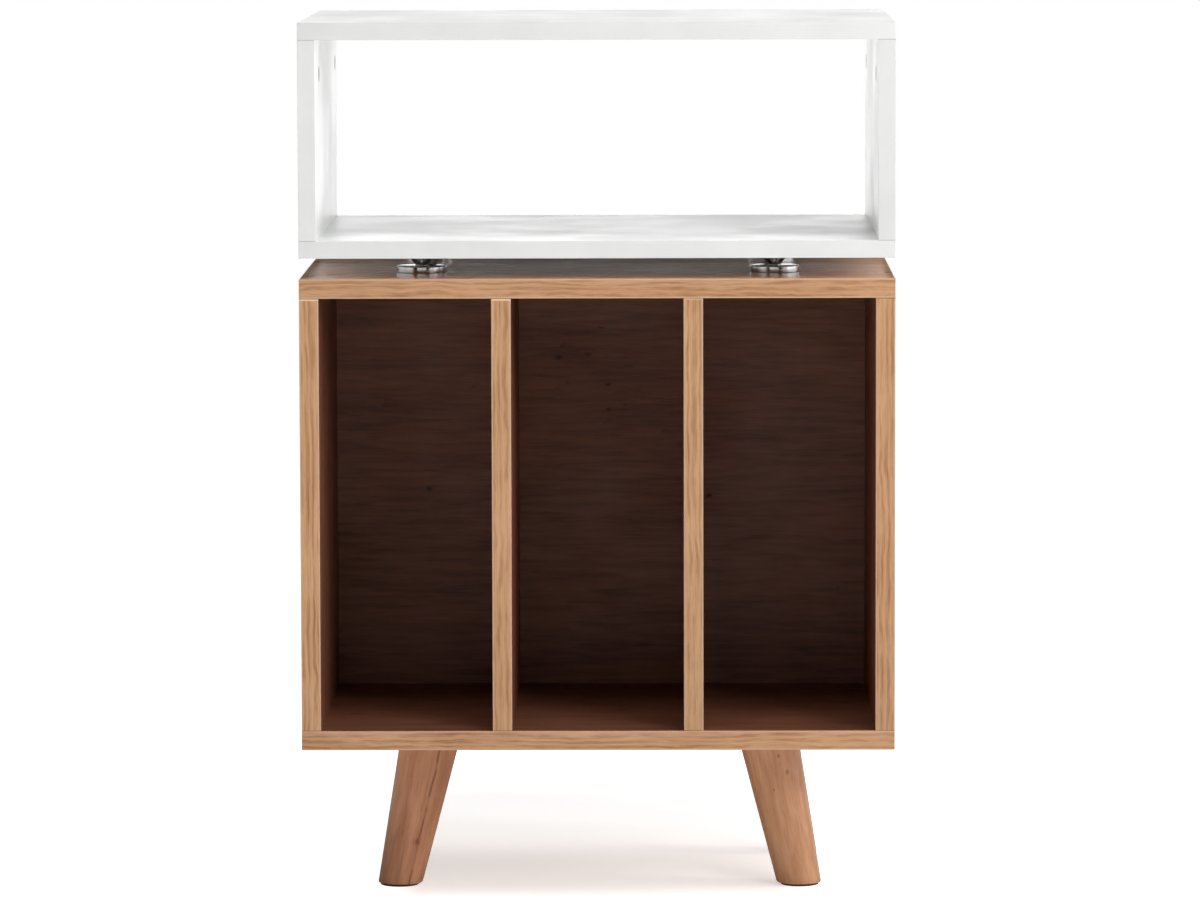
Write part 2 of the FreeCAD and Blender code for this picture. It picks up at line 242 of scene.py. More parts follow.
class Effect:
    """A pattern that several finishes share: a node group that is built once."""

    title: ClassVar[str] = ""
    takes: ClassVar[Mapping[str, float | Sequence[float]]] = {}
    gives: ClassVar[Mapping[str, Port]] = {}

    @classmethod
    def lay(cls, bench: Bench, given: Mapping[str, Wire]) -> dict[str, Wire]:
        """Lays the nodes of the pattern.

        Args:
            bench: The group's own bench.
            given: The wires that come into the group, by name.

        Returns:
            What the group puts out, by name.
        """
        raise NotImplementedError

    @classmethod
    def tree(cls) -> bpy.types.NodeTree:
        """Finds the group's tree, and builds it the first time.

        Returns:
            The tree.
        """
        made = bpy.data.node_groups.get(cls.title)
        if made is None:
            made = bpy.data.node_groups.new(cls.title, "ShaderNodeTree")
            for name, value in cls.takes.items():
                kind = Port.of(value).value
                made.interface.new_socket(name=name, in_out="INPUT", socket_type=kind).default_value = value
            for name, port in cls.gives.items():
                made.interface.new_socket(name=name, in_out="OUTPUT", socket_type=port.value)
            bench = Bench(made)
            bench.node("NodeGroupOutput", cls.lay(bench, bench.wires("NodeGroupInput")))
        return made

    @classmethod
    def place(cls, bench: Bench, **feeds: Feed) -> dict[str, Wire]:
        """Places the pattern. Feeds are named as the group's inputs, in lower case, and its outputs come back."""
        return bench.wires("ShaderNodeGroup", {name.capitalize(): feed for name, feed in feeds.items()},
                           node_tree=cls.tree())


class GrainLines(Effect):
    """Growth lines and pores along a board."""

    title = "grain_lines"
    takes = {"Place": (0, 0, 0), "Length": 70.0, "Pitch": 4.0, "Sway": 1.0, "Rings": 3.0}
    gives = {"Lines": Port.VALUE, "Pores": Port.VALUE}

    @classmethod
    def lay(cls, bench: Bench, given: Mapping[str, Wire]) -> dict[str, Wire]:
        """Draws the contour lines of a long, swaying noise, with finer strokes over them.

        Args:
            bench: The group's own bench.
            given: The wires that come in.

        Returns:
            The lines and the pores.
        """
        along, over = 1.0 / given["Length"], 1.0 / given["Pitch"]
        drawn = given["Place"] * bench.join(along, over, over)
        sway = (bench.noise(drawn * (0.55, 0.11, 0.11), 1.0, 3.0, 0.55) - 0.5) * given["Sway"]
        swayed = drawn + bench.join(0.0, sway, sway)
        level = bench.noise(swayed * (0.6, 0.3, 0.3), 1.0, 1.5, 0.45)
        ring = bench.ease(bench.sum("SINE", level * given["Rings"] * (2 * math.pi)), -0.1, 0.95)
        streak = bench.ease(bench.noise(swayed, 1.0, 2.5, 0.6), 0.5, 0.68)
        strokes = bench.noise(swayed * (2.6, 5.2, 5.2), 1.0, 2.0, 0.6)
        present = bench.ease(bench.noise(drawn * (1.1, 0.7, 0.7)), 0.36, 0.6)
        return {"Lines": bench.sum("MAXIMUM", ring, streak) * present, "Pores": bench.ease(strokes, 0.54, 0.7)}


class Knots(Effect):
    """Scattered small knots, more of them round one middle, and the way that they push the grain aside."""

    title = "knots"
    takes = {"Place": (0, 0, 0), "Middle": (0, 0, 0), "Reach": 40.0, "Spacing": 14.0, "Size": 0.2, "Share": 0.1,
             "Crowd": 0.6, "Push": 6.0}
    gives = {"Knot": Port.VALUE, "Halo": Port.VALUE, "Moved": Port.VECTOR}

    @classmethod
    def lay(cls, bench: Bench, given: Mapping[str, Wire]) -> dict[str, Wire]:
        """Keeps some cells of a cell pattern, and bends the place near their middles.

        Args:
            bench: The group's own bench.
            given: The wires that come in.

        Returns:
            The knots, their halos and the bent place.
        """
        place, cell = given["Place"], 1.0 / given["Spacing"]
        scaled = place * bench.join(cell * 0.62, cell, cell)
        ragged = bench.wire("ShaderNodeTexNoise", {"Vector": scaled, "Scale": 3.1, "Detail": 2.0}, "Color")
        loose = (ragged - (0.5, 0.5, 0.5)) * (0.3, 0.2, 0.2)
        cells = bench.wires("ShaderNodeTexVoronoi", {"Vector": scaled + loose, "Scale": 1.0})
        random, grade, _ = bench.split(cells["Color"])
        far = bench.length(place - given["Middle"]) / given["Reach"]
        crowded = bench.ease(far, 0.75, 1.1, 1.0, 0.0) * given["Crowd"]
        kept = bench.sum("LESS_THAN", random, given["Share"] + crowded)
        near = cells["Distance"] / (given["Size"] * bench.ease(grade, 0.0, 1.0, 0.55, 1.3))
        knot = bench.ease(near, 0.2, 1.0, 1.0, 0.0) * kept
        halo = bench.ease(near, 0.6, 3.0, 1.0, 0.0) * kept
        feeds = {0: scaled - cells["Position"], "Scale": halo * given["Push"]}
        bend = bench.wire("ShaderNodeVectorMath", feeds, operation="SCALE")
        return {"Knot": knot, "Halo": halo, "Moved": place - bend * (0.0, 1.0, 1.0)}


class Handling(Effect):
    """Faint cloudy marks of wiping and touching, which change the gloss."""

    title = "handling"
    takes = {"Place": (0, 0, 0), "Low": 0.3, "High": 0.4}
    gives = {"Roughness": Port.VALUE, "Cloud": Port.VALUE}

    @classmethod
    def lay(cls, bench: Bench, given: Mapping[str, Wire]) -> dict[str, Wire]:
        """Spreads a slow noise between two roughnesses."""
        cloud = bench.ease(bench.noise(given["Place"], 0.011, 4.0, 0.62), 0.34, 0.68)
        return {"Roughness": bench.between(cloud, given["Low"], given["High"]), "Cloud": cloud}


class OakFigure(Effect):
    """The printed oak of the cabinet's outer faces and edge strips."""

    title = "oak_figure"
    takes = {"Place": (0, 0, 0), "Light": (0.6, 0.4, 0.25, 1), "Dark": (0.4, 0.2, 0.1, 1), "Pitch": 4.0,
             "Length": 60.0}
    gives = {"Color": Port.COLOUR, "Height": Port.VALUE}

    @classmethod
    def waves(cls, bench: Bench, place: Feed, pitch: Feed, length: Feed, bend: float, shift: float) -> Wire:
        """Draws soft growth lines that run side by side, bend gently, and fade in and out.

        Args:
            bench: The group's own bench.
            place: The place in millimetres, with X along the grain.
            pitch: The usual distance between two lines.
            length: How far a line runs before it fades.
            bend: How many lines the widest bend crosses.
            shift: A move of the pattern, so that two layers differ.

        Returns:
            The lines, from 0 to 1.
        """
        run, second, third = bench.split(place)
        u, v = run / length + shift, (second + third) / pitch
        slow = bench.noise(bench.join(u, v * 0.16, shift))
        quick = bench.noise(bench.join(u * 3.4, v * 0.3, shift), 1.0, 1.0)
        uneven = bench.noise(bench.join(u * 0.4, v * 0.55, shift), 1.0, 1.0)
        bent = v + (slow - 0.5) * bend + (quick - 0.5) * 0.7 + (uneven - 0.5) * 1.5
        wave = bench.sum("SINE", bent * (2 * math.pi))
        here = bench.noise(bench.join(u * 2.2, bent * 0.45, shift))
        return bench.ease(wave, -0.8, 1.0) * bench.ease(here, 0.34, 0.66, 0.2, 1.0)

    @classmethod
    def lay(cls, bench: Bench, given: Mapping[str, Wire]) -> dict[str, Wire]:
        """Lays dark wavy lines, finer ones and pores over a warm ground.

        Args:
            bench: The group's own bench.
            given: The wires that come in.

        Returns:
            The colour and the relief.
        """
        place, pitch, length = given["Place"], given["Pitch"], given["Length"]
        bold = cls.waves(bench, place, pitch, length, 1.5, 3.7)
        fine = cls.waves(bench, place, pitch * 0.4, length * 0.5, 2.2, 11.3)
        along, over = 1.0 / length, 1.0 / pitch
        drawn = place * bench.join(along, over, over)
        tone = bench.noise(drawn * (0.7, 0.3, 0.3), 1.0, 3.0, 0.6)
        pores = bench.ease(bench.noise(drawn * (9.0, 6.0, 6.0), 1.0, 2.0, 0.6), 0.5, 0.72)
        inked = bench.sum("ADD", bold * 0.54 + fine * 0.24, pores * 0.12, clamp=True)
        share = bench.sum("ADD", inked, bench.ease(tone, 0.3, 0.7) * 0.3, clamp=True)
        return {"Color": bench.blend(share, given["Light"], given["Dark"]), "Height": 1.0 - inked}


class WalnutFigure(Effect):
    """The dark walnut print inside the bays, with knots that the grain runs round."""

    title = "walnut_figure"
    takes = {"Place": (0, 0, 0), "Middle": (0, 0, 0), "Light": (0.3, 0.15, 0.1, 1), "Dark": (0.1, 0.05, 0.03, 1),
             "Knot": (0.03, 0.01, 0.01, 1)}
    gives = {"Color": Port.COLOUR, "Height": Port.VALUE}

    @classmethod
    def lay(cls, bench: Bench, given: Mapping[str, Wire]) -> dict[str, Wire]:
        """Bends long fine lines round scattered knots, over broad light and dark bands.

        Args:
            bench: The group's own bench.
            given: The wires that come in.

        Returns:
            The colour and the relief.
        """
        knots = Knots.place(bench, place=given["Place"], middle=given["Middle"], reach=48.0, spacing=13.0,
                            size=0.3, share=0.03, crowd=0.5, push=5.0)
        moved = knots["Moved"]
        grain = GrainLines.place(bench, place=moved, length=110.0, pitch=5.2, sway=2.6, rings=3.4)
        streaks = bench.ease(bench.noise(moved * (0.02, 0.27, 0.27), 1.0, 4.0, 0.68), 0.36, 0.66)
        bands = bench.ease(bench.noise(moved * (0.006, 0.034, 0.034), 1.0, 3.0, 0.55), 0.3, 0.7)
        eyes = bench.ease(bench.noise(moved * (0.014, 0.085, 0.085), 1.0, 2.0, 0.6), 0.63, 0.74)
        specks = grain["Lines"] * 0.22 + streaks * 0.34 + grain["Pores"] * 0.12
        share = bench.sum("ADD", bands * 0.34 + eyes * 0.26, specks, clamp=True)
        wood = bench.blend(share, given["Light"], given["Dark"])
        ringed = bench.blend(knots["Halo"] * 0.16, wood, given["Dark"])
        return {"Color": bench.blend(knots["Knot"] * 0.85, ringed, given["Knot"]), "Height": 1.0 - specks}


# Finishes

Laid = tuple[Wire, Wire, Wire, float]


@dataclass(frozen=True)
class Finish:
    """A finish of the stand: its name, its range of roughness, and how its material is laid."""

    title: str
    roughness: Pair = (0.4, 0.5)
    extras: ClassVar[Mapping[str, float]] = {}

    def lay(self, bench: Bench) -> Laid:
        """Lays the finish's nodes.

        Args:
            bench: The material's bench.

        Returns:
            The colour, the roughness, the relief from 0 to 1, and the relief's depth in millimetres.
        """
        raise NotImplementedError

    def handled(self, bench: Bench, place: Feed) -> dict[str, Wire]:
        """Places the marks of handling between the finish's two roughnesses."""
        return Handling.place(bench, place=place, low=self.roughness[0], high=self.roughness[1])

    def material(self) -> bpy.types.Material:
        """Finds the finish's material, and builds it the first time.

        Returns:
            The material.
        """
        made = bpy.data.materials.get(self.title)
        if made is None:
            made = bpy.data.materials.new(self.title)
            bench = Bench.cleared(made)
            colour, roughness, relief, depth = self.lay(bench)
            bump = bench.wire("ShaderNodeBump", {"Height": relief, "Distance": depth * MM, "Strength": 1.0})
            feeds = {"Base Color": colour, "Roughness": roughness, "Normal": bump, **self.extras}
            bench.node("ShaderNodeOutputMaterial", {"Surface": bench.wire("ShaderNodeBsdfPrincipled", feeds)})
        return made


@dataclass(frozen=True)
class PlainSkin(Finish):
    """One colour under a faint cloud, finely embossed: white foil, and the strips' painted highlights and painted
    joint shade.
    """

    # The defaults are the pale oak of the painted highlight on rounded arrises.
    colour: Colour = tint(214, 172, 138)
    shade: Colour = tint(208, 164, 128)
    cloud: float = 6.0
    emboss: float = 5.0
    depth: float = 0.01

    def lay(self, bench: Bench) -> Laid:
        """Lays the cloud and the emboss.

        Args:
            bench: The material's bench.

        Returns:
            The colour, the roughness, the relief and its depth.
        """
        place = bench.millimetres()
        marks = self.handled(bench, place * (self.cloud, self.cloud, self.cloud))
        colour = bench.blend(marks["Cloud"], self.colour, self.shade)
        return colour, marks["Roughness"], bench.noise(place, self.emboss), self.depth


@dataclass(frozen=True)
class OakFoil(Finish):
    """Oak-effect foil or edge strip with its grain along one axis, and pores pressed into it."""

    roughness: Pair = (0.36, 0.46)
    run: Run = Run.ACROSS
    light: Colour = tint(211, 163, 121)
    dark: Colour = tint(160, 109, 67)
    pitch: float = 5.6
    length: float = 66.0

    def figure(self, bench: Bench) -> dict[str, Wire]:
        """Places the oak figure with this foil's colours and lines."""
        return OakFigure.place(bench, place=bench.millimetres(self.run), light=self.light, dark=self.dark,
                               pitch=self.pitch, length=self.length)

    def lay(self, bench: Bench) -> Laid:
        """Lays the oak figure under marks of handling."""
        oak, marks = self.figure(bench), self.handled(bench, bench.millimetres(self.run))
        return oak["Color"], marks["Roughness"], oak["Height"], 0.03


@dataclass(frozen=True)
class WalnutFoil(Finish):
    """Dark walnut-effect foil of the bays' inner faces."""

    roughness: Pair = (0.38, 0.5)
    extras = {"Specular IOR Level": 0.3}
    run: Run = Run.ACROSS
    light: Colour = tint(160, 105, 78)
    dark: Colour = tint(105, 61, 43)
    knot: Colour = tint(48, 25, 19)
    middle: Point = (0.0, 900.0, 0.0)

    def figure(self, bench: Bench) -> dict[str, Wire]:
        """Places the walnut figure with this foil's colours and knots."""
        return WalnutFigure.place(bench, place=bench.millimetres(self.run), middle=self.middle, light=self.light,
                                  dark=self.dark, knot=self.knot)

    def lay(self, bench: Bench) -> Laid:
        """Lays the walnut figure under marks of handling."""
        walnut, marks = self.figure(bench), self.handled(bench, bench.millimetres(self.run))
        return walnut["Color"], marks["Roughness"], walnut["Height"], 0.03


@dataclass(frozen=True)
class FacedBoard(Finish):
    """A board with oak on its outer face and walnut on its inner one."""

    oak: OakFoil = OakFoil("oak_ground")
    walnut: WalnutFoil = WalnutFoil("walnut_ground")
    axis: int = 2
    level: float = 0.0
    outer_above: bool = True
    mirrored: bool = False

    def lay(self, bench: Bench) -> Laid:
        """Chooses between the two figures by the side of the board's middle that a point lies on.

        Args:
            bench: The material's bench.

        Returns:
            The colour, the roughness, the relief and its depth.
        """
        oak, walnut = self.oak.figure(bench), self.walnut.figure(bench)
        value = bench.split(bench.wires("ShaderNodeTexCoord")["Object"])[self.axis]
        value = bench.sum("ABSOLUTE", value) if self.mirrored else value
        outer = bench.sum("GREATER_THAN" if self.outer_above else "LESS_THAN", value, self.level)
        marks = self.oak.handled(bench, bench.millimetres(self.oak.run))
        return (bench.blend(outer, walnut["Color"], oak["Color"]), marks["Roughness"],
                bench.between(outer, walnut["Height"], oak["Height"]), 0.03)


@dataclass(frozen=True)
class LegWood(Finish):
    """Lacquered solid wood, with the grain along the leg, a dark streak and a few set knots.

    A turn is an angle round the leg from its front, towards +X, in radians. A set knot is its turn, its height
    along the leg and its radius, in millimetres.
    """

    roughness: Pair = (0.4, 0.52)
    extras = {"Specular IOR Level": 0.35, "Coat Weight": 0.08, "Coat Roughness": 0.25}
    light: Colour = tint(220, 162, 123)
    dark: Colour = tint(178, 117, 82)
    knot: Colour = tint(96, 52, 34)
    streak_turn: float = math.pi
    streak_depth: float = 0.0
    set_knots: tuple[Point, ...] = ()
    usual_radius: float = 24.0

    def marks(self, bench: Bench) -> Wire:
        """Draws the streak and the set knots.

        Args:
            bench: The material's bench.

        Returns:
            How dark the marks are, from 0 to 1.
        """
        x, y, z = bench.split(bench.millimetres())
        turn = bench.sum("ARCTAN2", x, y * -1.0)
        sway = (bench.noise(bench.join(0.0, 3.0, z), 0.03, 3.0) - 0.5) * 0.22
        off = bench.sum("ABSOLUTE", turn - self.streak_turn - sway) * self.usual_radius
        here = bench.ease(bench.noise(bench.join(0.0, 9.0, z), 0.06), 0.34, 0.56, 0.25, 1.0)
        drawn = bench.ease(off, 0.2, 1.7, self.streak_depth, 0.0) * here
        for angle, height, radius in self.set_knots:
            gap = bench.length(bench.join((turn - angle) * self.usual_radius, (z - height) * 0.6, 0.0))
            drawn = bench.sum("MAXIMUM", drawn, bench.ease(gap, 0.1 * radius, 1.2 * radius, 0.5, 0.0))
        return drawn

    def lay(self, bench: Bench) -> Laid:
        """Lays soft streaks with a few small knots, under a thin lacquer.

        Args:
            bench: The material's bench.

        Returns:
            The colour, the roughness, the relief and its depth.
        """
        own = bench.wires("ShaderNodeObjectInfo")["Location"]
        place = bench.millimetres(Run.UPRIGHT) + own * (3100.0, 1700.0, 900.0)
        knots = Knots.place(bench, place=place, spacing=21.0, size=0.13, share=0.1, crowd=0.0, push=9.0)
        grain = GrainLines.place(bench, place=knots["Moved"], length=90.0, pitch=5.0, sway=1.5, rings=1.6)
        soft = bench.noise(knots["Moved"] * (0.012, 0.09, 0.09), 1.0, 3.0, 0.55)
        drawn = grain["Lines"] * 0.26 + grain["Pores"] * 0.36
        share = bench.sum("ADD", bench.ease(soft, 0.3, 0.7) * 0.6, drawn, clamp=True)
        dark = bench.sum("MAXIMUM", knots["Knot"] * 0.7, self.marks(bench))
        colour = bench.blend(dark, bench.blend(share, self.light, self.dark), self.knot)
        return colour, self.handled(bench, place)["Roughness"], 1.0 - drawn, 0.03


@dataclass(frozen=True)
class Metal(Finish):
    """A plated metal with fine turning marks and a little tarnish."""

    roughness: Pair = (0.08, 0.16)
    extras = {"Metallic": 1.0}
    colour: Colour = tint(214, 214, 214)
    dull: Colour = tint(184, 184, 186)

    def lay(self, bench: Bench) -> Laid:
        """Lays rings round the upright axis of the piece, and a cloud of tarnish.

        Args:
            bench: The material's bench.

        Returns:
            The colour, the roughness, the relief and its depth.
        """
        place = bench.millimetres()
        x, y, z = bench.split(place)
        rings = bench.join(bench.length(bench.join(x, y, 0.0)), 0.0, z)
        marks = self.handled(bench, place * (9.0, 9.0, 9.0))
        colour = bench.blend(marks["Cloud"], self.colour, self.dull)
        return colour, marks["Roughness"], bench.noise(rings, 7.0, 3.0, 0.6), 0.002


@dataclass(frozen=True)
class BareBeech(Finish):
    """Bare fluted dowel wood."""

    light: Colour = tint(222, 190, 148)
    dark: Colour = tint(188, 150, 106)

    def lay(self, bench: Bench) -> Laid:
        """Lays short beech flecks along the dowel.

        Args:
            bench: The material's bench.

        Returns:
            The colour, the roughness, the relief and its depth.
        """
        place = bench.millimetres(Run.UPRIGHT)
        grain = GrainLines.place(bench, place=place, length=9.0, pitch=0.8, sway=0.6, rings=2.0)
        flecks = bench.sum("ADD", grain["Lines"] * 0.5, grain["Pores"], clamp=True)
        return bench.blend(flecks, self.light, self.dark), bench.ease(flecks, 0.0, 1.0, 0.55, 0.75), flecks, 0.05


@dataclass(frozen=True)
class Felt(Finish):
    """Pressed dark felt under the feet."""

    extras = {"Sheen Weight": 0.3}
    light: Colour = tint(74, 60, 52)
    dark: Colour = tint(38, 30, 27)

    def lay(self, bench: Bench) -> Laid:
        """Lays tangled short fibres.

        Args:
            bench: The material's bench.

        Returns:
            The colour, the roughness, the relief and its depth.
        """
        fibres = bench.noise(bench.millimetres(), 3.2, 5.0, 0.75)
        colour = bench.blend(bench.ease(fibres, 0.35, 0.65), self.dark, self.light)
        return colour, bench.ease(fibres, 0.3, 0.7, 0.85, 1.0), fibres, 0.2


WHITE = PlainSkin("white_foil", (0.34, 0.44), tint(236, 237, 236), tint(231, 232, 231), 1.0, 1.4, 0.02)
# Painted shade: grey on the white strips' ends, for the shade in the joints.
WHITE_JOINT_SHADE = PlainSkin("white_joint", colour=tint(176, 176, 174), shade=tint(168, 168, 166))
# Painted highlight: paler oak on the rounded arrises, where the edges catch light.
OAK_ARRIS_HIGHLIGHT = PlainSkin("oak_arris")
# Painted shade: dark oak on the strips' ends, for the shade in the joints.
OAK_JOINT_SHADE = PlainSkin("oak_joint", colour=tint(104, 68, 42), shade=tint(92, 60, 37))
# Painted highlight: a pale band at the top end of upright strips, where a small chamfer would catch light.
OAK_END_HIGHLIGHT = PlainSkin("oak_cut", colour=tint(240, 204, 174), shade=tint(232, 196, 166))
OAK_ACROSS = OakFoil("oak_across")
OAK_DEEP = OakFoil("oak_deep", run=Run.DEEP)
# Painted light: a paler copy of the oak for the bottom panel's strips.
OAK_LOW_PAINTED_LIGHT = OakFoil("oak_low", light=tint(218, 170, 128), dark=tint(168, 116, 73))
# Painted light: a slightly paler copy of the oak on the upright strips; their longer grain is the foil's own.
OAK_UPRIGHT_PAINTED_LIGHT = OakFoil("oak_upright", run=Run.UPRIGHT, light=tint(216, 168, 125), dark=tint(164, 113, 70),
                      length=84.0)
OAK_LEVEL = OakFoil("oak_level", pitch=9.0, length=150.0)
OAK_SIDE = OakFoil("oak_side", run=Run.UPRIGHT, pitch=9.0, length=150.0)
# Painted light: a much paler copy of the oak on the cabinet top, standing in for light in the gap under the shelf.
OAK_TOP_PAINTED_LIGHT = OakFoil("oak_top", (0.14, 0.21), light=tint(255, 204, 154), dark=tint(204, 146, 98), pitch=9.0,
                  length=150.0)
WALNUT_ACROSS = WalnutFoil("walnut_across")
# Painted shade: a darker copy of the walnut on the bays' floors.
WALNUT_FLOOR_PAINTED_SHADE = WalnutFoil("walnut_floor", light=tint(141, 91, 67), dark=tint(92, 53, 37))
WALNUT_UPRIGHT = WalnutFoil("walnut_upright", run=Run.UPRIGHT)
WALNUT_BACK = WalnutFoil("walnut_back", middle=(-6.0, 135.0, 460.5))
LEFT_LEG_WOOD = LegWood("left_leg_lacquer", streak_turn=0.43, streak_depth=0.6)
# Painted light: the right legs take paler wood than the left ones, for the stronger light from the right; their knots
# are the wood's own.
RIGHT_LEG_WOOD_PAINTED_LIGHT = LegWood("right_leg_lacquer", light=tint(230, 177, 136), dark=tint(192, 132, 94),
                         set_knots=((0.22, 127.0, 1.6), (0.42, 110.0, 1.9), (-0.2, 96.0, 1.1)))
CHROME = Metal("polished_chrome")
ZINC = Metal("die_cast_zinc", (0.34, 0.5), tint(150, 150, 152), tint(112, 112, 115))
STEEL = Metal("plated_steel", (0.24, 0.4), tint(188, 189, 192), tint(150, 150, 150))
BEECH = BareBeech("bare_beech")
FELT = Felt("dark_felt")


# Meshes


@dataclass
class Form:
    """The points and faces of a mesh as it grows, with the finish that each face takes."""

    points: list[Vector] = field(default_factory=list)
    faces: list[tuple[int, ...]] = field(default_factory=list)
    finishes: list[int] = field(default_factory=list)

    def loft(self, rings: Sequence[Sequence[Vector]], closed: bool = True, capped: bool = True,
             finish: int = 0, choose: Callable[[int, int], int] | None = None) -> None:
        """Skins a row of rings that have as many points each.

        Args:
            rings: The rings, from the first end to the last.
            closed: Whether each ring joins its own ends.
            capped: Whether the first and last ring are filled.
            finish: The number of the finish that the faces take.
            choose: Gives a face's finish from the number of its row and of its step round the ring.
        """
        start = len(self.points)
        count = len(rings[0])
        for ring in rings:
            self.points.extend(Vector(point) for point in ring)
        steps = count if closed else count - 1
        for row in range(len(rings) - 1):
            low = start + row * count
            for k in range(steps):
                near, far = low + k, low + (k + 1) % count
                self.add((near, far, far + count, near + count), choose(row, k) if choose else finish)
        if capped:
            self.add(tuple(reversed(range(start, start + count))), finish)
            last = start + (len(rings) - 1) * count
            self.add(tuple(range(last, last + count)), finish)

    def add(self, face: tuple[int, ...], finish: int) -> None:
        """Adds one face."""
        self.faces.append(face)
        self.finishes.append(finish)

    def revolve(self, profile: Sequence[Pair], sides: int = 96, finish: int = 0) -> None:
        """Turns a profile round the upright axis.

        Args:
            profile: Pairs of radius and height in metres, from the bottom to the top.
            sides: How many steps the turn has.
            finish: The number of the finish that the faces take.
        """
        turns = [2 * math.pi * k / sides for k in range(sides)]
        self.loft([[Vector((r * math.cos(t), r * math.sin(t), z)) for t in turns] for r, z in profile],
                  finish=finish)


def rounded(corners: Sequence[Pair], radii: Sequence[float], steps: int = 5) -> list[Pair]:
    """Rounds the inner corners of an open profile.

    Args:
        corners: The profile's corners, as pairs.
        radii: A radius for each corner. The first and last corner, and those with radius 0, stay sharp.
        steps: How many steps a rounding has.

    Returns:
        The points of the profile with its roundings.
    """
    made = [corners[0]]
    for before, corner, after, radius in zip(corners, corners[1:], corners[2:], radii[1:]):
        here = Vector(corner)
        back, forth = Vector(before) - here, Vector(after) - here
        angle = back.angle(forth)
        if radius <= 0 or angle > math.pi - 0.01:
            made.append(corner)
            continue
        reach = min(radius / math.tan(angle / 2), back.length / 2, forth.length / 2)
        first, last = here + back.normalized() * reach, here + forth.normalized() * reach
        for k in range(steps + 1):
            share = k / steps
            point = first * (1 - share) ** 2 + here * 2 * share * (1 - share) + last * share ** 2
            made.append((point.x, point.y))
    return [*made, corners[-1]]


class Shop:
    """Turns forms into pieces that ride on the stand, and dresses the boards that stay."""

    @staticmethod
    def piece(name: str, form: Form, finishes: Sequence[Finish], place: Matrix | None = None) -> bpy.types.Object:
        """Makes an object of a form.

        Args:
            name: The piece's name.
            form: Its points and faces.
            finishes: The finishes that the form's faces name by number.
            place: Where the form's own origin goes.

        Returns:
            The new object.
        """
        mesh = bpy.data.meshes.new(name)
        mesh.from_pydata([tuple(p) for p in form.points], [], form.faces)
        for finish in finishes:
            mesh.materials.append(finish.material())
        mesh.polygons.foreach_set("material_index", form.finishes)
        work = bmesh.new()
        work.from_mesh(mesh)
        bmesh.ops.recalc_face_normals(work, faces=work.faces)
        work.to_mesh(mesh)
        work.free()
        Shop.smooth(mesh)
        made = bpy.data.objects.new(name, mesh)
        bpy.context.scene.collection.objects.link(made)
        made.matrix_world = place or Matrix.Identity(4)
        return made

    @staticmethod
    def smooth(mesh: bpy.types.Mesh) -> None:
        """Smooths a mesh, except at its sharp edges."""
        mesh.shade_smooth()
        mesh.set_sharp_from_angle(angle=SHARP_ANGLE)

    @staticmethod
    def fit(made: bpy.types.Object, slot: str, *nodes: str) -> bpy.types.Object:
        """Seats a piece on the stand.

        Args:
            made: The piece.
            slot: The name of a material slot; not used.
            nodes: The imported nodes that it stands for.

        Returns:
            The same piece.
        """
        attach(made, BODY)
        if nodes:
            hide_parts(*nodes)
        log.info("%s: %d faces, stands for %s", made.name, len(made.data.polygons), ", ".join(nodes) or "no node")
        return made

    @staticmethod
    def dress(finish: Finish, *nodes: str) -> None:
        """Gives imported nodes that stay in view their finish.

        Args:
            finish: The finish that they take.
            nodes: The nodes' names.
        """
        for node in nodes:
            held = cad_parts[node]
            if not held.material_slots:
                held.data.materials.append(None)
            for slot in held.material_slots:
                slot.material = finish.material()
            log.info("%s: dressed in %s", node, finish.title)


# Edge strips


@dataclass(frozen=True)
class StripLook:
    """The numbers of the finishes that a strip's faces take, and how far a painted highlight band runs at its last
    end.
    """

    face: int = 0
    arris: int = 0
    # Number of the finish for the eased ends; on uprights that is the painted shade of the joints.
    ends: int = 0
    # Number of the finish for the pale band of painted highlight below the last end.
    cut: int = 0
    end_highlight_run: float = 0.0


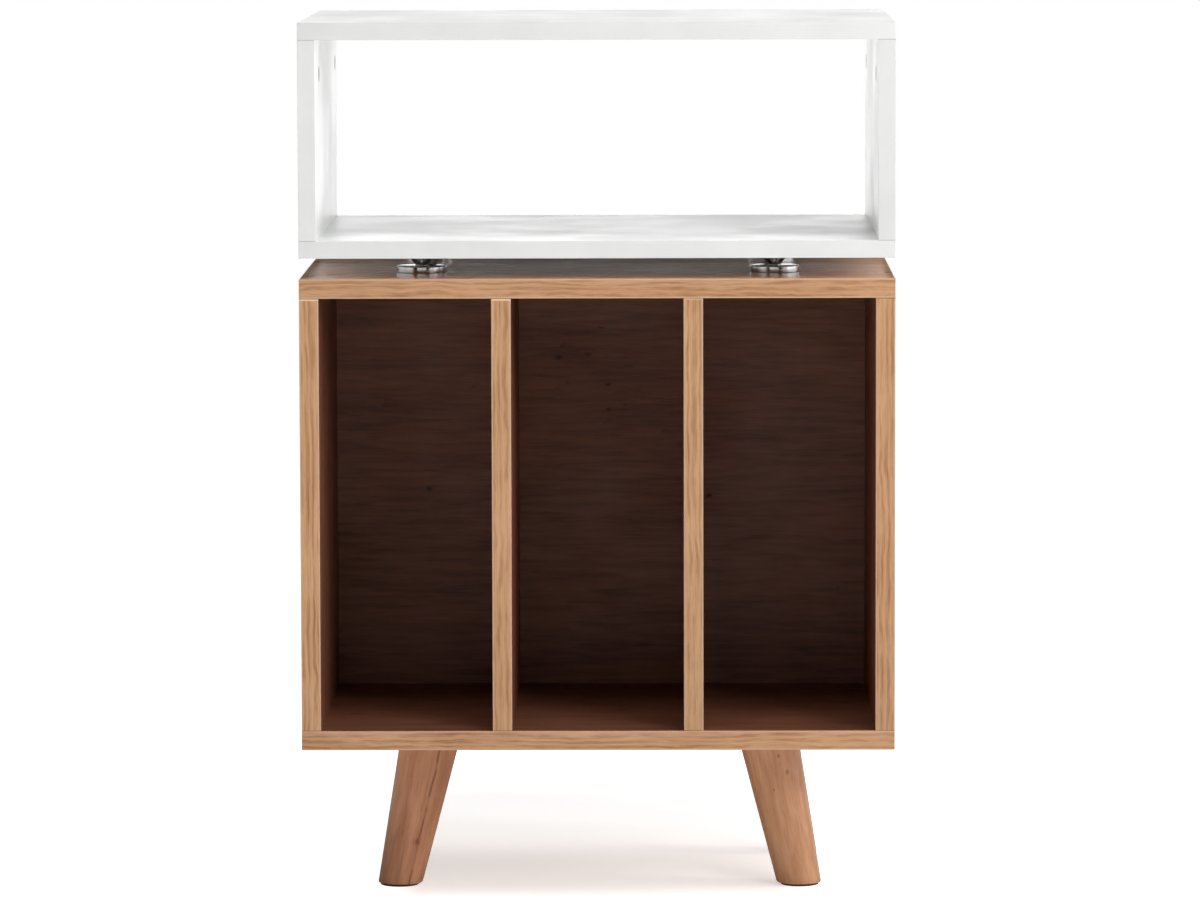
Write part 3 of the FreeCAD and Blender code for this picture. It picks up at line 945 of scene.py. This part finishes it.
@dataclass
class EdgeStrip:
    """A glued edge strip: flat on its glue face, with its outer long edges rounded, and on oak painted pale as a
    highlight.
    """

    depth: float = 1.0 * MM
    arris: float = 0.92 * MM
    # How far from each long edge the painted highlight reaches over the outer face, its rounding included.
    highlight_band: float = 1.35 * MM
    steps: int = 5

    def section(self, thickness: float, inset: float) -> list[Pair]:
        """Returns the outline across the strip: pairs of height over the board's lower face and depth outward.

        Args:
            thickness: The board's thickness.
            inset: How far the outer faces draw in, near an end.

        Returns:
            The outline, from one glue edge to the other.
        """
        outer = self.depth - inset
        low, high = inset, thickness - inset
        corners = [(low, 0.0), (low, outer), (low + self.highlight_band, outer), (high - self.highlight_band, outer),
                   (high, outer), (high, 0.0)]
        return rounded(corners, [0.0, self.arris, 0.0, 0.0, self.arris, 0.0], self.steps)

    def add(self, form: Form, corner: Vector, along: Vector, over: Vector, outward: Vector, thickness: float,
            easings: Pair, look: StripLook) -> None:
        """Adds a strip to a form.

        Args:
            form: The form that it joins.
            corner: The glue face's corner that the strip starts from.
            along: The strip's whole run.
            over: The unit direction across the board's edge.
            outward: The unit direction away from the board.
            thickness: The board's thickness.
            easings: How far the first and the last end are eased.
            look: The finishes that its faces take.
        """
        way = along.normalized()
        turns = [math.pi / 2 * k / 3 for k in range(4)]
        first, last = easings
        stops = [(first * (1 - math.sin(t)), first * (1 - math.cos(t))) for t in reversed(turns)]
        stops += [(along.length - last - look.end_highlight_run, 0.0)] if look.end_highlight_run else []
        stops += [(along.length - last * (1 - math.sin(t)), last * (1 - math.cos(t))) for t in turns]
        rings = []
        for run, inset in stops:
            outline = self.section(thickness, min(inset, self.depth * 0.8))
            rings.append([corner + way * run + over * a + outward * b for a, b in outline])
        rows, middle = len(rings) - 1, self.steps + 2

        def choose(row: int, step: int) -> int:
            """Picks a face's finish: the ends, the painted highlight band near the last end, the arrises or the face.

            Args:
                row: The number of the face's row along the strip.
                step: The number of its step across the strip.

            Returns:
                The number of the finish.
            """
            # The eased ends: on uprights they take the painted shade of the joints.
            if row < 3 or row >= rows - 3:
                return look.ends
            # A pale band of painted highlight just below the last end.
            if look.end_highlight_run and row == rows - 4:
                return look.cut
            # The roundings and the bands beside them take the arris finish, a painted highlight on oak.
            return look.arris if 0 < step < 2 * middle and step != middle else look.face

        form.loft(rings, choose=choose)


@dataclass
class StripSet:
    """The edge strips of one board, built round the box of the node that they stand for."""

    node: str
    faces: tuple[Finish, Finish]
    # The finish of the arrises: on oak a painted highlight, on the white shelf plain white.
    arris: Finish
    # The upright strips' ends take this finish: painted shade in the joints.
    joint: Finish
    slot: str
    # How far a painted highlight band runs down from an upright strip's top end.
    end_highlight_run: float = 0.0
    strip: EdgeStrip = field(default_factory=EdgeStrip)
    corner_easing: float = 0.7 * MM
    butt_easing: float = 0.4 * MM

    def level(self) -> None:
        """Builds the four strips round a level panel."""
        low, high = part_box(self.node)
        step = Vector((self.strip.depth,) * 3)
        inner_low, inner_high = low + step, high - step
        thickness, ends = high.z - low.z, (self.corner_easing, self.corner_easing)
        form = Form()
        for y, way in ((inner_low.y, -REAR), (inner_high.y, REAR)):
            self.strip.add(form, Vector((low.x, y, low.z)), RIGHT * (high.x - low.x), UP, way, thickness, ends,
                           StripLook(0, 2, 0))
        for x, way in ((inner_low.x, -RIGHT), (inner_high.x, RIGHT)):
            self.strip.add(form, Vector((x, inner_low.y, low.z)), REAR * (inner_high.y - inner_low.y), UP, way,
                           thickness, (0.0, 0.0), StripLook(1, 2, 1))
        self.seat(form)

    def upright(self, with_rear: bool = True) -> None:
        """Builds the strip down the front edge of an upright, and the one down its back edge.

        Args:
            with_rear: Whether the upright has a strip at the back.
        """
        low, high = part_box(self.node)
        # The look: face, arrises with a painted highlight on oak, ends with painted joint shade, and a painted
        # highlight band at the top end.
        ends, look = (self.butt_easing, self.butt_easing), StripLook(0, 2, 3, 1, self.end_highlight_run)
        edges = ((low.y + self.strip.depth, -REAR), (high.y - self.strip.depth, REAR))
        form = Form()
        for y, way in edges if with_rear else edges[:1]:
            self.strip.add(form, Vector((low.x, y, low.z)), UP * (high.z - low.z), RIGHT, way, high.x - low.x, ends,
                           look)
        self.seat(form)

    def seat(self, form: Form) -> None:
        """Seats the strips on the stand, in the finishes of their faces, of their arrises with the oak's painted
        highlight, and of their ends with the painted shade of the joints.
        """
        made = Shop.piece(self.node + "_looks", form, [*self.faces, self.arris, self.joint])
        Shop.fit(made, self.slot, self.node)


# Fittings


@dataclass
class CamLocks:
    """Round cams let into the sides near their top, with a cross slot to turn them by."""

    node: str
    rows: Pair
    radius: float = 7.5 * MM
    depth: float = 6.0 * MM
    slot_width: float = 1.7 * MM
    slot_reach: float = 4.9 * MM
    slot_depth: float = 2.2 * MM
    slot_turn: float = 0.5
    rim: float = 0.9 * MM
    dish: float = 0.35 * MM
    bevel: float = 0.25 * MM

    def body(self) -> Form:
        """Builds the cam with its face at the origin, looking along +Z.

        Returns:
            The cam, without its slots.
        """
        form = Form()
        inner = self.radius - self.rim
        form.revolve([(self.radius, -self.depth), (self.radius, -self.bevel), (self.radius - self.bevel, 0.0),
                      (inner, 0.0), (inner - 0.3 * MM, -self.dish), (0.02 * MM, -self.dish)], sides=64)
        return form

    def cutter(self, turn: float) -> bpy.types.Object:
        """Builds a bar that cuts one arm of the cross slot.

        Args:
            turn: How far the arm is turned.

        Returns:
            The cutter.
        """
        form = Form()
        ring = [(sx * self.slot_width / 2, sy * self.slot_reach) for sx, sy in SQUARE]
        form.loft([[Vector((x, y, z)) for x, y in ring] for z in (-self.slot_depth, self.slot_depth)])
        return Shop.piece("slot_cutter", form, [], Matrix.Rotation(turn, 4, "Z"))

    def cam(self, name: str, place: Matrix) -> bpy.types.Object:
        """Builds one cam with its slots cut.

        Args:
            name: The piece's name.
            place: Where its face goes, looking along the place's +Z.

        Returns:
            The cam.
        """
        made = Shop.piece(name, self.body(), [ZINC])
        for turn in (0.0, math.pi / 2):
            tool = self.cutter(turn + self.slot_turn)
            cut = made.modifiers.new("slot", "BOOLEAN")
            cut.operation, cut.object, cut.solver = "DIFFERENCE", tool, "EXACT"
            bpy.context.view_layer.update()
            result = bpy.data.meshes.new_from_object(made.evaluated_get(bpy.context.evaluated_depsgraph_get()))
            made.modifiers.clear()
            made.data = result
            bpy.data.objects.remove(tool)
        Shop.smooth(made.data)
        made.matrix_world = place
        return made

    def build(self) -> None:
        """Builds the four cams, seated in the box of the node that they stand for."""
        low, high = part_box(self.node)
        level = (low.z + high.z) / 2
        half = min(abs(v.co.x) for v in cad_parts[self.node].data.vertices)
        for side, sx in (("left", -1), ("right", 1)):
            for end, y in zip(("front", "rear"), self.rows):
                place = Matrix.Translation((sx * half, y, level)) @ Matrix.Rotation(-sx * math.pi / 2, 4, "Y")
                first = (side, end) == ("left", "front")
                Shop.fit(self.cam(f"{self.node}_{side}_{end}", place), "zinc", *([self.node] if first else []))


@dataclass
class Bars:
    """Fasteners that point up from their heads, one to each place, as one piece."""

    node: str
    places: Sequence[Pair]
    sides: ClassVar[int] = 48

    def ring(self, radius: float, z: float, flat: bool = False) -> list[Vector]:
        """Builds a ring.

        Args:
            radius: Its radius, over the corners of a six-sided one.
            z: Its height.
            flat: Whether it is six-sided.

        Returns:
            Its points.
        """
        step = math.pi / 3
        made = []
        for turn in (2 * math.pi * k / self.sides for k in range(self.sides)):
            reach = radius * (math.cos(step / 2) / math.cos(turn % step - step / 2) if flat else 1.0)
            made.append(Vector((reach * math.cos(turn), reach * math.sin(turn), z)))
        return made

    def outline(self, length: float) -> list[tuple[float, float, bool]]:
        """Gives the outline of one fastener, from its head at the origin.

        Args:
            length: The fastener's whole length.

        Returns:
            The radius and height of each ring, and whether it is six-sided.
        """
        raise NotImplementedError

    def build(self) -> None:
        """Builds the fasteners in the box of the node that they stand for."""
        low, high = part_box(self.node)
        form = Form()
        for x, y in self.places:
            seat = Vector((x, y, low.z))
            form.loft([[point + seat for point in self.ring(*ring)] for ring in self.outline(high.z - low.z)])
        Shop.fit(Shop.piece(self.node + "_looks", form, [STEEL]), "steel", self.node)


@dataclass
class LongScrews(Bars):
    """Flat-headed screws under a bottom panel, with a six-sided socket in the head."""

    head_radius: float = 4.9 * MM
    head_height: float = 3.0 * MM
    shank_radius: float = 3.2 * MM
    point_length: float = 6.0 * MM
    point_radius: float = 0.4 * MM
    socket_radius: float = 2.3 * MM
    socket_depth: float = 2.0 * MM
    easing: float = 0.3 * MM

    def outline(self, length: float) -> list[tuple[float, float, bool]]:
        """Gives the outline of a screw, from the floor of its socket to its point.

        Args:
            length: The screw's whole length.

        Returns:
            The radius and height of each ring, and whether it is six-sided.
        """
        head, shank, socket = self.head_radius, self.shank_radius, self.socket_radius
        return [(0.3 * socket, self.socket_depth * 1.05, True), (socket, self.socket_depth, True),
                (socket, 0.12 * MM, True), (socket * 1.12, 0.0, False), (head - self.easing, 0.0, False),
                (head, self.easing, False), (head, self.head_height, False),
                (shank, self.head_height + 0.4 * MM, False), (shank, length - self.point_length, False),
                (self.point_radius, length, False)]


@dataclass
class FootBolts(Bars):
    """Flanged six-sided bolts that hold the metal feet from inside the bays."""

    head_radius: float = 5.4 * MM
    head_height: float = 3.5 * MM
    flange_radius: float = 7.9 * MM
    flange_height: float = 1.5 * MM
    shank_radius: float = 2.9 * MM
    tip_bevel: float = 0.6 * MM

    def outline(self, length: float) -> list[tuple[float, float, bool]]:
        """Gives the outline of a bolt, from under its head to its tip.

        Args:
            length: The bolt's whole length.

        Returns:
            The radius and height of each ring, and whether it is six-sided.
        """
        head, flange, shank = self.head_radius, self.flange_radius, self.shank_radius
        under, over = self.head_height, self.head_height + self.flange_height
        return [(0.82 * head, 0.0, False), (head, 0.35 * MM, True), (head, under - 0.2 * MM, True),
                (flange * 0.94, under, False), (flange, under + 0.5 * MM, False), (flange, over, False),
                (shank, over, False), (shank, length - self.tip_bevel, False),
                (shank - self.tip_bevel, length, False)]


# The stand's parts


@dataclass
class Case:
    """A case of boards, with cams at the top and long screws at the bottom of its two sides."""

    title: ClassVar[str]
    screw_x: float
    rows: Pair

    def join(self) -> None:
        """Builds the cams and long screws, and dresses the hidden bolts and dowels."""
        CamLocks(f"{self.title}_cam_locks", self.rows).build()
        LongScrews(f"{self.title}_screws", [(sx * self.screw_x, y) for sx in (-1, 1) for y in self.rows]).build()
        Shop.dress(STEEL, f"{self.title}_cam_bolts")
        Shop.dress(BEECH, f"{self.title}_dowels")


@dataclass
class WhiteShelf(Case):
    """The hollow white shelf: four boards, their edge strips and what joins them."""

    title = "shelf"
    screw_x: float = 267.0 * MM
    rows: Pair = (-125.0 * MM, 170.0 * MM)

    def build(self) -> None:
        """Dresses the boards and builds strips, cams and screws."""
        Shop.dress(WHITE, "shelf_top_panel", "shelf_bottom_panel", "shelf_left_side", "shelf_right_side")
        for board in ("top", "bottom", "left", "right"):
            strips = StripSet(f"shelf_{board}_edging", (WHITE, WHITE), WHITE, WHITE_JOINT_SHADE, "white_edging")
            strips.level() if board in ("top", "bottom") else strips.upright()
        self.join()
        Shop.dress(STEEL, "shelf_inserts")


@dataclass
class RecordCabinet(Case):
    """The oak cabinet: its case, two dividers, a thin back panel and what joins them."""

    title = "cabinet"
    screw_x: float = 266.0 * MM
    rows: Pair = (-125.0 * MM, 169.5 * MM)
    level_foils: ClassVar[Mapping[str, OakFoil]] = {"cabinet_top_edging": OAK_ACROSS,
                                                    "cabinet_bottom_edging": OAK_LOW_PAINTED_LIGHT}
    # How far the painted highlight band runs down from the top of each upright's strip.
    end_highlight_runs: ClassVar[Mapping[str, float]] = {"cabinet_left_edging": 1.5 * MM, "cabinet_right_edging": 0.0,
                                               "divider_1_edging": 1.6 * MM, "divider_2_edging": 0.7 * MM}

    def middle(self, node: str, axis: int) -> float:
        """Returns the middle of a node along an axis: 0, 1 or 2 for X, Y or Z."""
        return sum(corner[axis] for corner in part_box(node)) / 2

    def build(self) -> None:
        """Dresses the boards and builds strips, cams and screws."""
        top, bottom, right = "cabinet_top_panel", "cabinet_bottom_panel", "cabinet_right_side"
        Shop.dress(FacedBoard("top_board", oak=OAK_TOP_PAINTED_LIGHT, walnut=WALNUT_ACROSS, level=self.middle(top, 2)), top)
        Shop.dress(FacedBoard("bottom_board", oak=OAK_LEVEL, walnut=WALNUT_FLOOR_PAINTED_SHADE, level=self.middle(bottom, 2),
                              outer_above=False), bottom)
        Shop.dress(FacedBoard("side_board", oak=OAK_SIDE, walnut=WALNUT_UPRIGHT, axis=0,
                              level=self.middle(right, 0), mirrored=True), "cabinet_left_side", right)
        Shop.dress(WALNUT_UPRIGHT, "divider_1", "divider_2")
        Shop.dress(WALNUT_BACK, "cabinet_back_panel")
        for name, oak in self.level_foils.items():
            StripSet(name, (oak, OAK_DEEP), OAK_ARRIS_HIGHLIGHT, OAK_JOINT_SHADE, "oak_edging").level()
        for name, end_highlight_run in self.end_highlight_runs.items():
            # The second finish is the painted highlight band at the strip's top end.
            strips = StripSet(name, (OAK_UPRIGHT_PAINTED_LIGHT, OAK_END_HIGHLIGHT), OAK_ARRIS_HIGHLIGHT, OAK_JOINT_SHADE, "oak_edging", end_highlight_run)
            strips.upright(with_rear="divider" not in name)
        self.join()
        Shop.dress(BEECH, "divider_dowels")


@dataclass
class MetalFeet:
    """Four turned chrome feet between cabinet and shelf: a disc, a narrow neck and a flare."""

    x: float = 165.0 * MM
    y: float = 102.0 * MM
    height: float = 19.0 * MM
    disc_radius: float = 23.0 * MM
    disc_height: float = 6.0 * MM
    neck_radius: float = 5.2 * MM
    flare_radius: float = 17.5 * MM
    waist_radius: float = 10.0 * MM
    waist_height: float = 12.2 * MM

    def profile(self) -> list[Pair]:
        """Draws the turned profile, from under the disc to the top of the flare.

        Returns:
            Pairs of radius and height.
        """
        disc, top = self.disc_radius, self.height
        corners = [(1.0 * MM, 0.0), (disc, 0.0), (disc, self.disc_height), (self.neck_radius, self.disc_height),
                   (self.waist_radius, self.waist_height), (self.flare_radius, top - 1.2 * MM),
                   (self.flare_radius, top), (1.0 * MM, top)]
        return rounded(corners, [0.0, 0.5 * MM, 0.7 * MM, 0.9 * MM, 9.0 * MM, 0.6 * MM, 0.3 * MM, 0.0], 6)

    def build(self) -> None:
        """Builds the feet and the bolts that hold them."""
        low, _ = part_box("metal_feet")
        spots = [(name, sx * self.x, sy * self.y) for name, sx, sy in CORNERS]
        for number, (name, x, y) in enumerate(spots):
            form = Form()
            form.revolve(self.profile(), sides=128)
            made = Shop.piece(f"metal_foot_{name}", form, [CHROME], Matrix.Translation((x, y, low.z)))
            Shop.fit(made, "chrome", *(() if number else ("metal_feet",)))
        FootBolts("metal_foot_bolts", [(x, y) for _, x, y in spots]).build()


@dataclass
class WoodenLegs:
    """Four round tapered legs that lean out to the sides, cut level at both ends, each on a felt pad."""

    top_x: float = 159.0 * MM
    y: float = 94.5 * MM
    spread: float = 30.0 * MM
    height: float = 142.5 * MM
    top_radius: float = 27.9 * MM
    foot_radius: float = 20.4 * MM
    pad_height: float = 2.0 * MM
    pad_margin: float = 2.5 * MM
    easing: float = 1.4 * MM
    sides: int = 112
    rows: int = 36

    def axis(self, sx: int, sy: int) -> tuple[Vector, Vector]:
        """Returns the middle of a leg on the floor and under the cabinet.

        Args:
            sx: -1 for a left leg, 1 for a right one.
            sy: -1 for a front leg, 1 for a rear one.

        Returns:
            The two middles.
        """
        foot = Vector((sx * (self.top_x + self.spread), sy * self.y, 0))
        return foot, Vector((sx * self.top_x, sy * self.y, self.height))

    def leg(self, foot: Vector, top: Vector, turned: Matrix) -> Form:
        """Builds the taper as level cuts through a leaning cone.

        Args:
            foot: The leg's middle on the floor.
            top: The leg's middle under the cabinet.
            turned: The leg's own place, with Z along its axis.

        Returns:
            The form, in the leg's own place.
        """
        way = (top - foot).normalized()
        side, over = turned.col[0].xyz, turned.col[1].xyz
        slope = (self.top_radius - self.foot_radius) / (top - foot).length
        low, high = self.pad_height, self.height
        stops = [(low, self.easing)]
        stops += [(low + self.easing * (1 - math.cos(t)), self.easing * (1 - math.sin(t)))
                  for t in (math.pi / 8 * k for k in range(1, 4))]
        stops += [(low + self.easing + (high - low - self.easing) * k / self.rows, 0.0) for k in range(self.rows + 1)]
        home = turned.inverted()
        rings = []
        for z, inset in stops:
            ring = []
            for k in range(self.sides):
                turn = 2 * math.pi * k / self.sides
                out = side * math.cos(turn) + over * math.sin(turn)
                reach = (z - (foot + out * (self.foot_radius - inset)).z) / (way + out * slope).z
                ring.append(home @ (foot + way * reach + out * (self.foot_radius - inset + slope * reach)))
            rings.append(ring)
        form = Form()
        form.loft(rings)
        return form

    def pad(self) -> Form:
        """Builds a felt pad with its lower edge rounded.

        Returns:
            The pad, with its middle on the floor at the origin.
        """
        radius = self.foot_radius - self.pad_margin
        form = Form()
        form.revolve(rounded([(0.5 * MM, 0.0), (radius, 0.0), (radius, self.pad_height), (0.5 * MM, self.pad_height)],
                             [0.0, 0.6 * MM, 0.2 * MM, 0.0], 4), sides=72)
        return form

    def build(self) -> None:
        """Builds the legs and pads, and dresses their bolts."""
        for name, sx, sy in CORNERS:
            foot, top = self.axis(sx, sy)
            turn = UP.rotation_difference(top - foot).to_matrix().to_4x4()
            turned = Matrix.Translation(foot) @ turn
            made = Shop.piece(f"leg_{name}", self.leg(foot, top, turned),
                              [LEFT_LEG_WOOD if sx < 0 else RIGHT_LEG_WOOD_PAINTED_LIGHT], turned)
            Shop.fit(made, "leg_wood", *(["front_legs" if sy < 0 else "rear_legs"] if sx < 0 else []))
            pad = Shop.piece(f"pad_{name}", self.pad(), [FELT], Matrix.Translation((foot.x, foot.y, 0)))
            Shop.fit(pad, "felt", *(["leg_pads"] if name == CORNERS[0][0] else []))
        Shop.dress(STEEL, "leg_bolts", "leg_inserts")


# Studio


@dataclass(frozen=True)
class Softbox:
    """A soft rectangular lamp that looks at a point, and may spare some of the pieces."""

    name: str
    place: Point
    aim: Point
    width: float
    height: float
    power: float
    spares: tuple[str, ...] = ()
    only_mirrored: bool = False

    def build(self) -> None:
        """Hangs the lamp."""
        lamp = bpy.data.lights.new(self.name, "AREA")
        lamp.shape, lamp.size, lamp.size_y, lamp.energy = "RECTANGLE", self.width, self.height, self.power
        holder = bpy.data.objects.new(self.name, lamp)
        bpy.context.scene.collection.objects.link(holder)
        away = Vector(self.place) - Vector(self.aim)
        holder.matrix_world = Matrix.Translation(self.place) @ away.to_track_quat("Z", "Y").to_matrix().to_4x4()
        holder.visible_camera = False
        holder.visible_diffuse = not self.only_mirrored
        if self.spares:
            spared = bpy.data.collections.new(f"{self.name}_spares")
            holder.light_linking.receiver_collection = spared
            for piece in self.spares:
                spared.objects.link(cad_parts.get(piece) or bpy.data.objects[piece])
            for held in spared.collection_objects:
                held.light_linking.link_state = "EXCLUDE"
        log.info("%s: %.0f W", self.name, self.power)


@dataclass
class Studio:
    """A white floor, a white surround, soft lamps and the camera."""

    floor_half: float = 14.0
    camera_place: Point = (0.0626, -6.1606, 0.9974)
    pan: float = -0.0101
    tilt: float = 0.0962
    roll: float = -0.0026
    focal_pixels: float = 6485.8
    image_width: float = 1200.0
    sensor: float = 36.0
    bounce_rear: float = 1.0
    bounce_left: float = 0.72
    bounce_front: float = 0.32
    mirrored_floor: float = 0.05
    rear_run: Pair = (0.3, 0.5)
    left_run: Pair = (-0.35, -0.55)
    front_run: Pair = (-0.25, -0.45)
    # The painted shadow under the stand: its half width, its half depth, its glow from front to rear, and where that
    # glow runs.
    shadow_half: Pair = (0.165, 0.215)
    shadow_depth: Pair = (0.45, 0.7)
    shadow_glow: Pair = (0.56, 0.76)
    shadow_run: Pair = (-0.05, 0.25)
    mirrored_run: Pair = (0.5, 0.8)
    mirrored_right: float = 1.0
    mirrored_left: float = 0.9
    mirrored_rear: float = 0.06
    lamps: tuple[Softbox, ...] = (
        Softbox("key_right", (3.9, -0.72, 2.25), (0.0, -0.1, 0.5), 0.55, 1.2, 28.0),
        Softbox("right_wall", (3.0, 0.0, 1.0), (0.0, 0.0, 1.0), 3.2, 2.0, 20.0),
        Softbox("right_high", (2.6, -2.2, 3.0), (0.0, -0.1, 0.5), 1.2, 1.2, 25.0),
        Softbox("right_front", (2.3, -3.3, 2.2), (0.0, -0.1, 0.5), 1.4, 1.4, 47.0),
        Softbox("overhead_front", (0.0, -1.6, 3.9), (0.0, -0.1, 0.5), 2.6, 1.4, 49.0),
        Softbox("overhead_rear", (0.0, 2.2, 3.4), (0.0, -0.1, 0.5), 2.6, 1.6, 19.0),
        Softbox("backdrop", (0.0, 3.2, 1.0), (0.0, 0.0, 1.0), 5.0, 2.0, 62.0,
                ("cabinet_top_panel", "metal_foot_rear_left", "metal_foot_rear_right"), True),
        Softbox("front_low", (0.0, -4.0, 0.5), (0.0, 0.0, 0.6), 3.0, 0.8, 6.0),
    )

    def floor(self) -> None:
        """Lays the floor, which shows white and keeps the stand's shadow, with a painted shadow where its glow to the
        camera dims under the stand.
        """
        form, half = Form(), self.floor_half
        form.loft([[Vector((sx * half, sy * half, z)) for sx, sy in SQUARE] for z in (-0.02, 0.0)])
        made = Shop.piece("floor", form, [])
        material = bpy.data.materials.new("studio_floor")
        bench = Bench.cleared(material)
        seen = bench.wires("ShaderNodeLightPath")
        shown = bench.sum("MAXIMUM", seen["Is Camera Ray"], seen["Is Transmission Ray"])
        x, y, _ = bench.split(bench.wires("ShaderNodeTexCoord")["Object"])
        bounce = (bench.ease(y, *self.rear_run, 0.0, self.bounce_rear)
                  + bench.ease(x, *self.left_run, 0.0, self.bounce_left)
                  + bench.ease(y, *self.front_run, 0.0, self.bounce_front))
        # Painted shadow: the glow to the camera dims under the stand, between the legs, most of all towards the
        # front.
        across = bench.ease(bench.sum("ABSOLUTE", x), *self.shadow_half, 1.0, 0.0)
        deep = bench.ease(bench.sum("ABSOLUTE", y), *self.shadow_depth, 1.0, 0.0)
        clear = bench.between(across * deep, 1.0, bench.ease(y, *self.shadow_run, *self.shadow_glow))
        other = bench.between(seen["Is Glossy Ray"], bounce, self.mirrored_floor)
        shade = bench.wire("ShaderNodeBsdfDiffuse", {"Color": tint(240, 238, 236)})
        glow = bench.wire("ShaderNodeEmission", {"Strength": bench.between(shown, other, clear)})
        bench.node("ShaderNodeOutputMaterial", {"Surface": bench.wire("ShaderNodeAddShader", {0: shade, 1: glow})})
        made.data.materials.append(material)

    def surround(self) -> None:
        """Sets a surround that shows white, and that the stand mirrors at its sides more than at its rear."""
        world = bpy.data.worlds.new("studio_surround")
        bpy.context.scene.world = world
        bench = Bench.cleared(world)
        seen = bench.wires("ShaderNodeLightPath")
        x, y, _ = bench.split(bench.wires("ShaderNodeTexCoord")["Generated"])
        near, far = self.mirrored_run
        sides = (bench.ease(x, near, far, 0.0, self.mirrored_right)
                 + bench.ease(x, -near, -far, 0.0, self.mirrored_left)
                 + bench.ease(y, near, far, 0.0, self.mirrored_rear))
        mirrored = bench.sum("MAXIMUM", seen["Is Glossy Ray"], seen["Is Transmission Ray"])
        strength = bench.sum("MAXIMUM", seen["Is Camera Ray"], mirrored * sides)
        glow = bench.wire("ShaderNodeBackground", {"Color": (1.0, 1.0, 1.0, 1.0), "Strength": strength})
        bench.node("ShaderNodeOutputWorld", {"Surface": glow})

    def camera(self) -> None:
        """Sets the camera at the viewing angle of the photograph."""
        forward = Vector((math.sin(self.pan) * math.cos(self.tilt), math.cos(self.pan) * math.cos(self.tilt),
                          -math.sin(self.tilt)))
        right = Vector((math.cos(self.pan), -math.sin(self.pan), 0))
        up = right.cross(forward)
        rolled_right = right * math.cos(self.roll) + up * math.sin(self.roll)
        rolled_up = up * math.cos(self.roll) - right * math.sin(self.roll)
        view = bpy.data.cameras.new("camera")
        view.sensor_fit, view.sensor_width = "HORIZONTAL", self.sensor
        view.lens = self.focal_pixels / self.image_width * self.sensor
        view.clip_start, view.clip_end = 0.1, 60.0
        holder = bpy.data.objects.new("camera", view)
        bpy.context.scene.collection.objects.link(holder)
        turned = Matrix((rolled_right, rolled_up, -forward)).transposed().to_4x4()
        holder.matrix_world = Matrix.Translation(self.camera_place) @ turned
        bpy.context.scene.camera = holder

    def build(self) -> None:
        """Builds the floor, the surround, the lamps and the camera."""
        self.floor()
        self.surround()
        for lamp in self.lamps:
            lamp.build()
        self.camera()
        bpy.context.scene.view_settings.view_transform = "Standard"


def main() -> None:
    """Builds the stand from the floor up, then the studio round it."""
    logging.basicConfig(level=logging.INFO, format="%(message)s")
    for part in (WoodenLegs(), RecordCabinet(), MetalFeet(), WhiteShelf(), Studio()):
        part.build()
        log.info("%s is done", type(part).__name__)


if __name__ == "__main__":
    main()
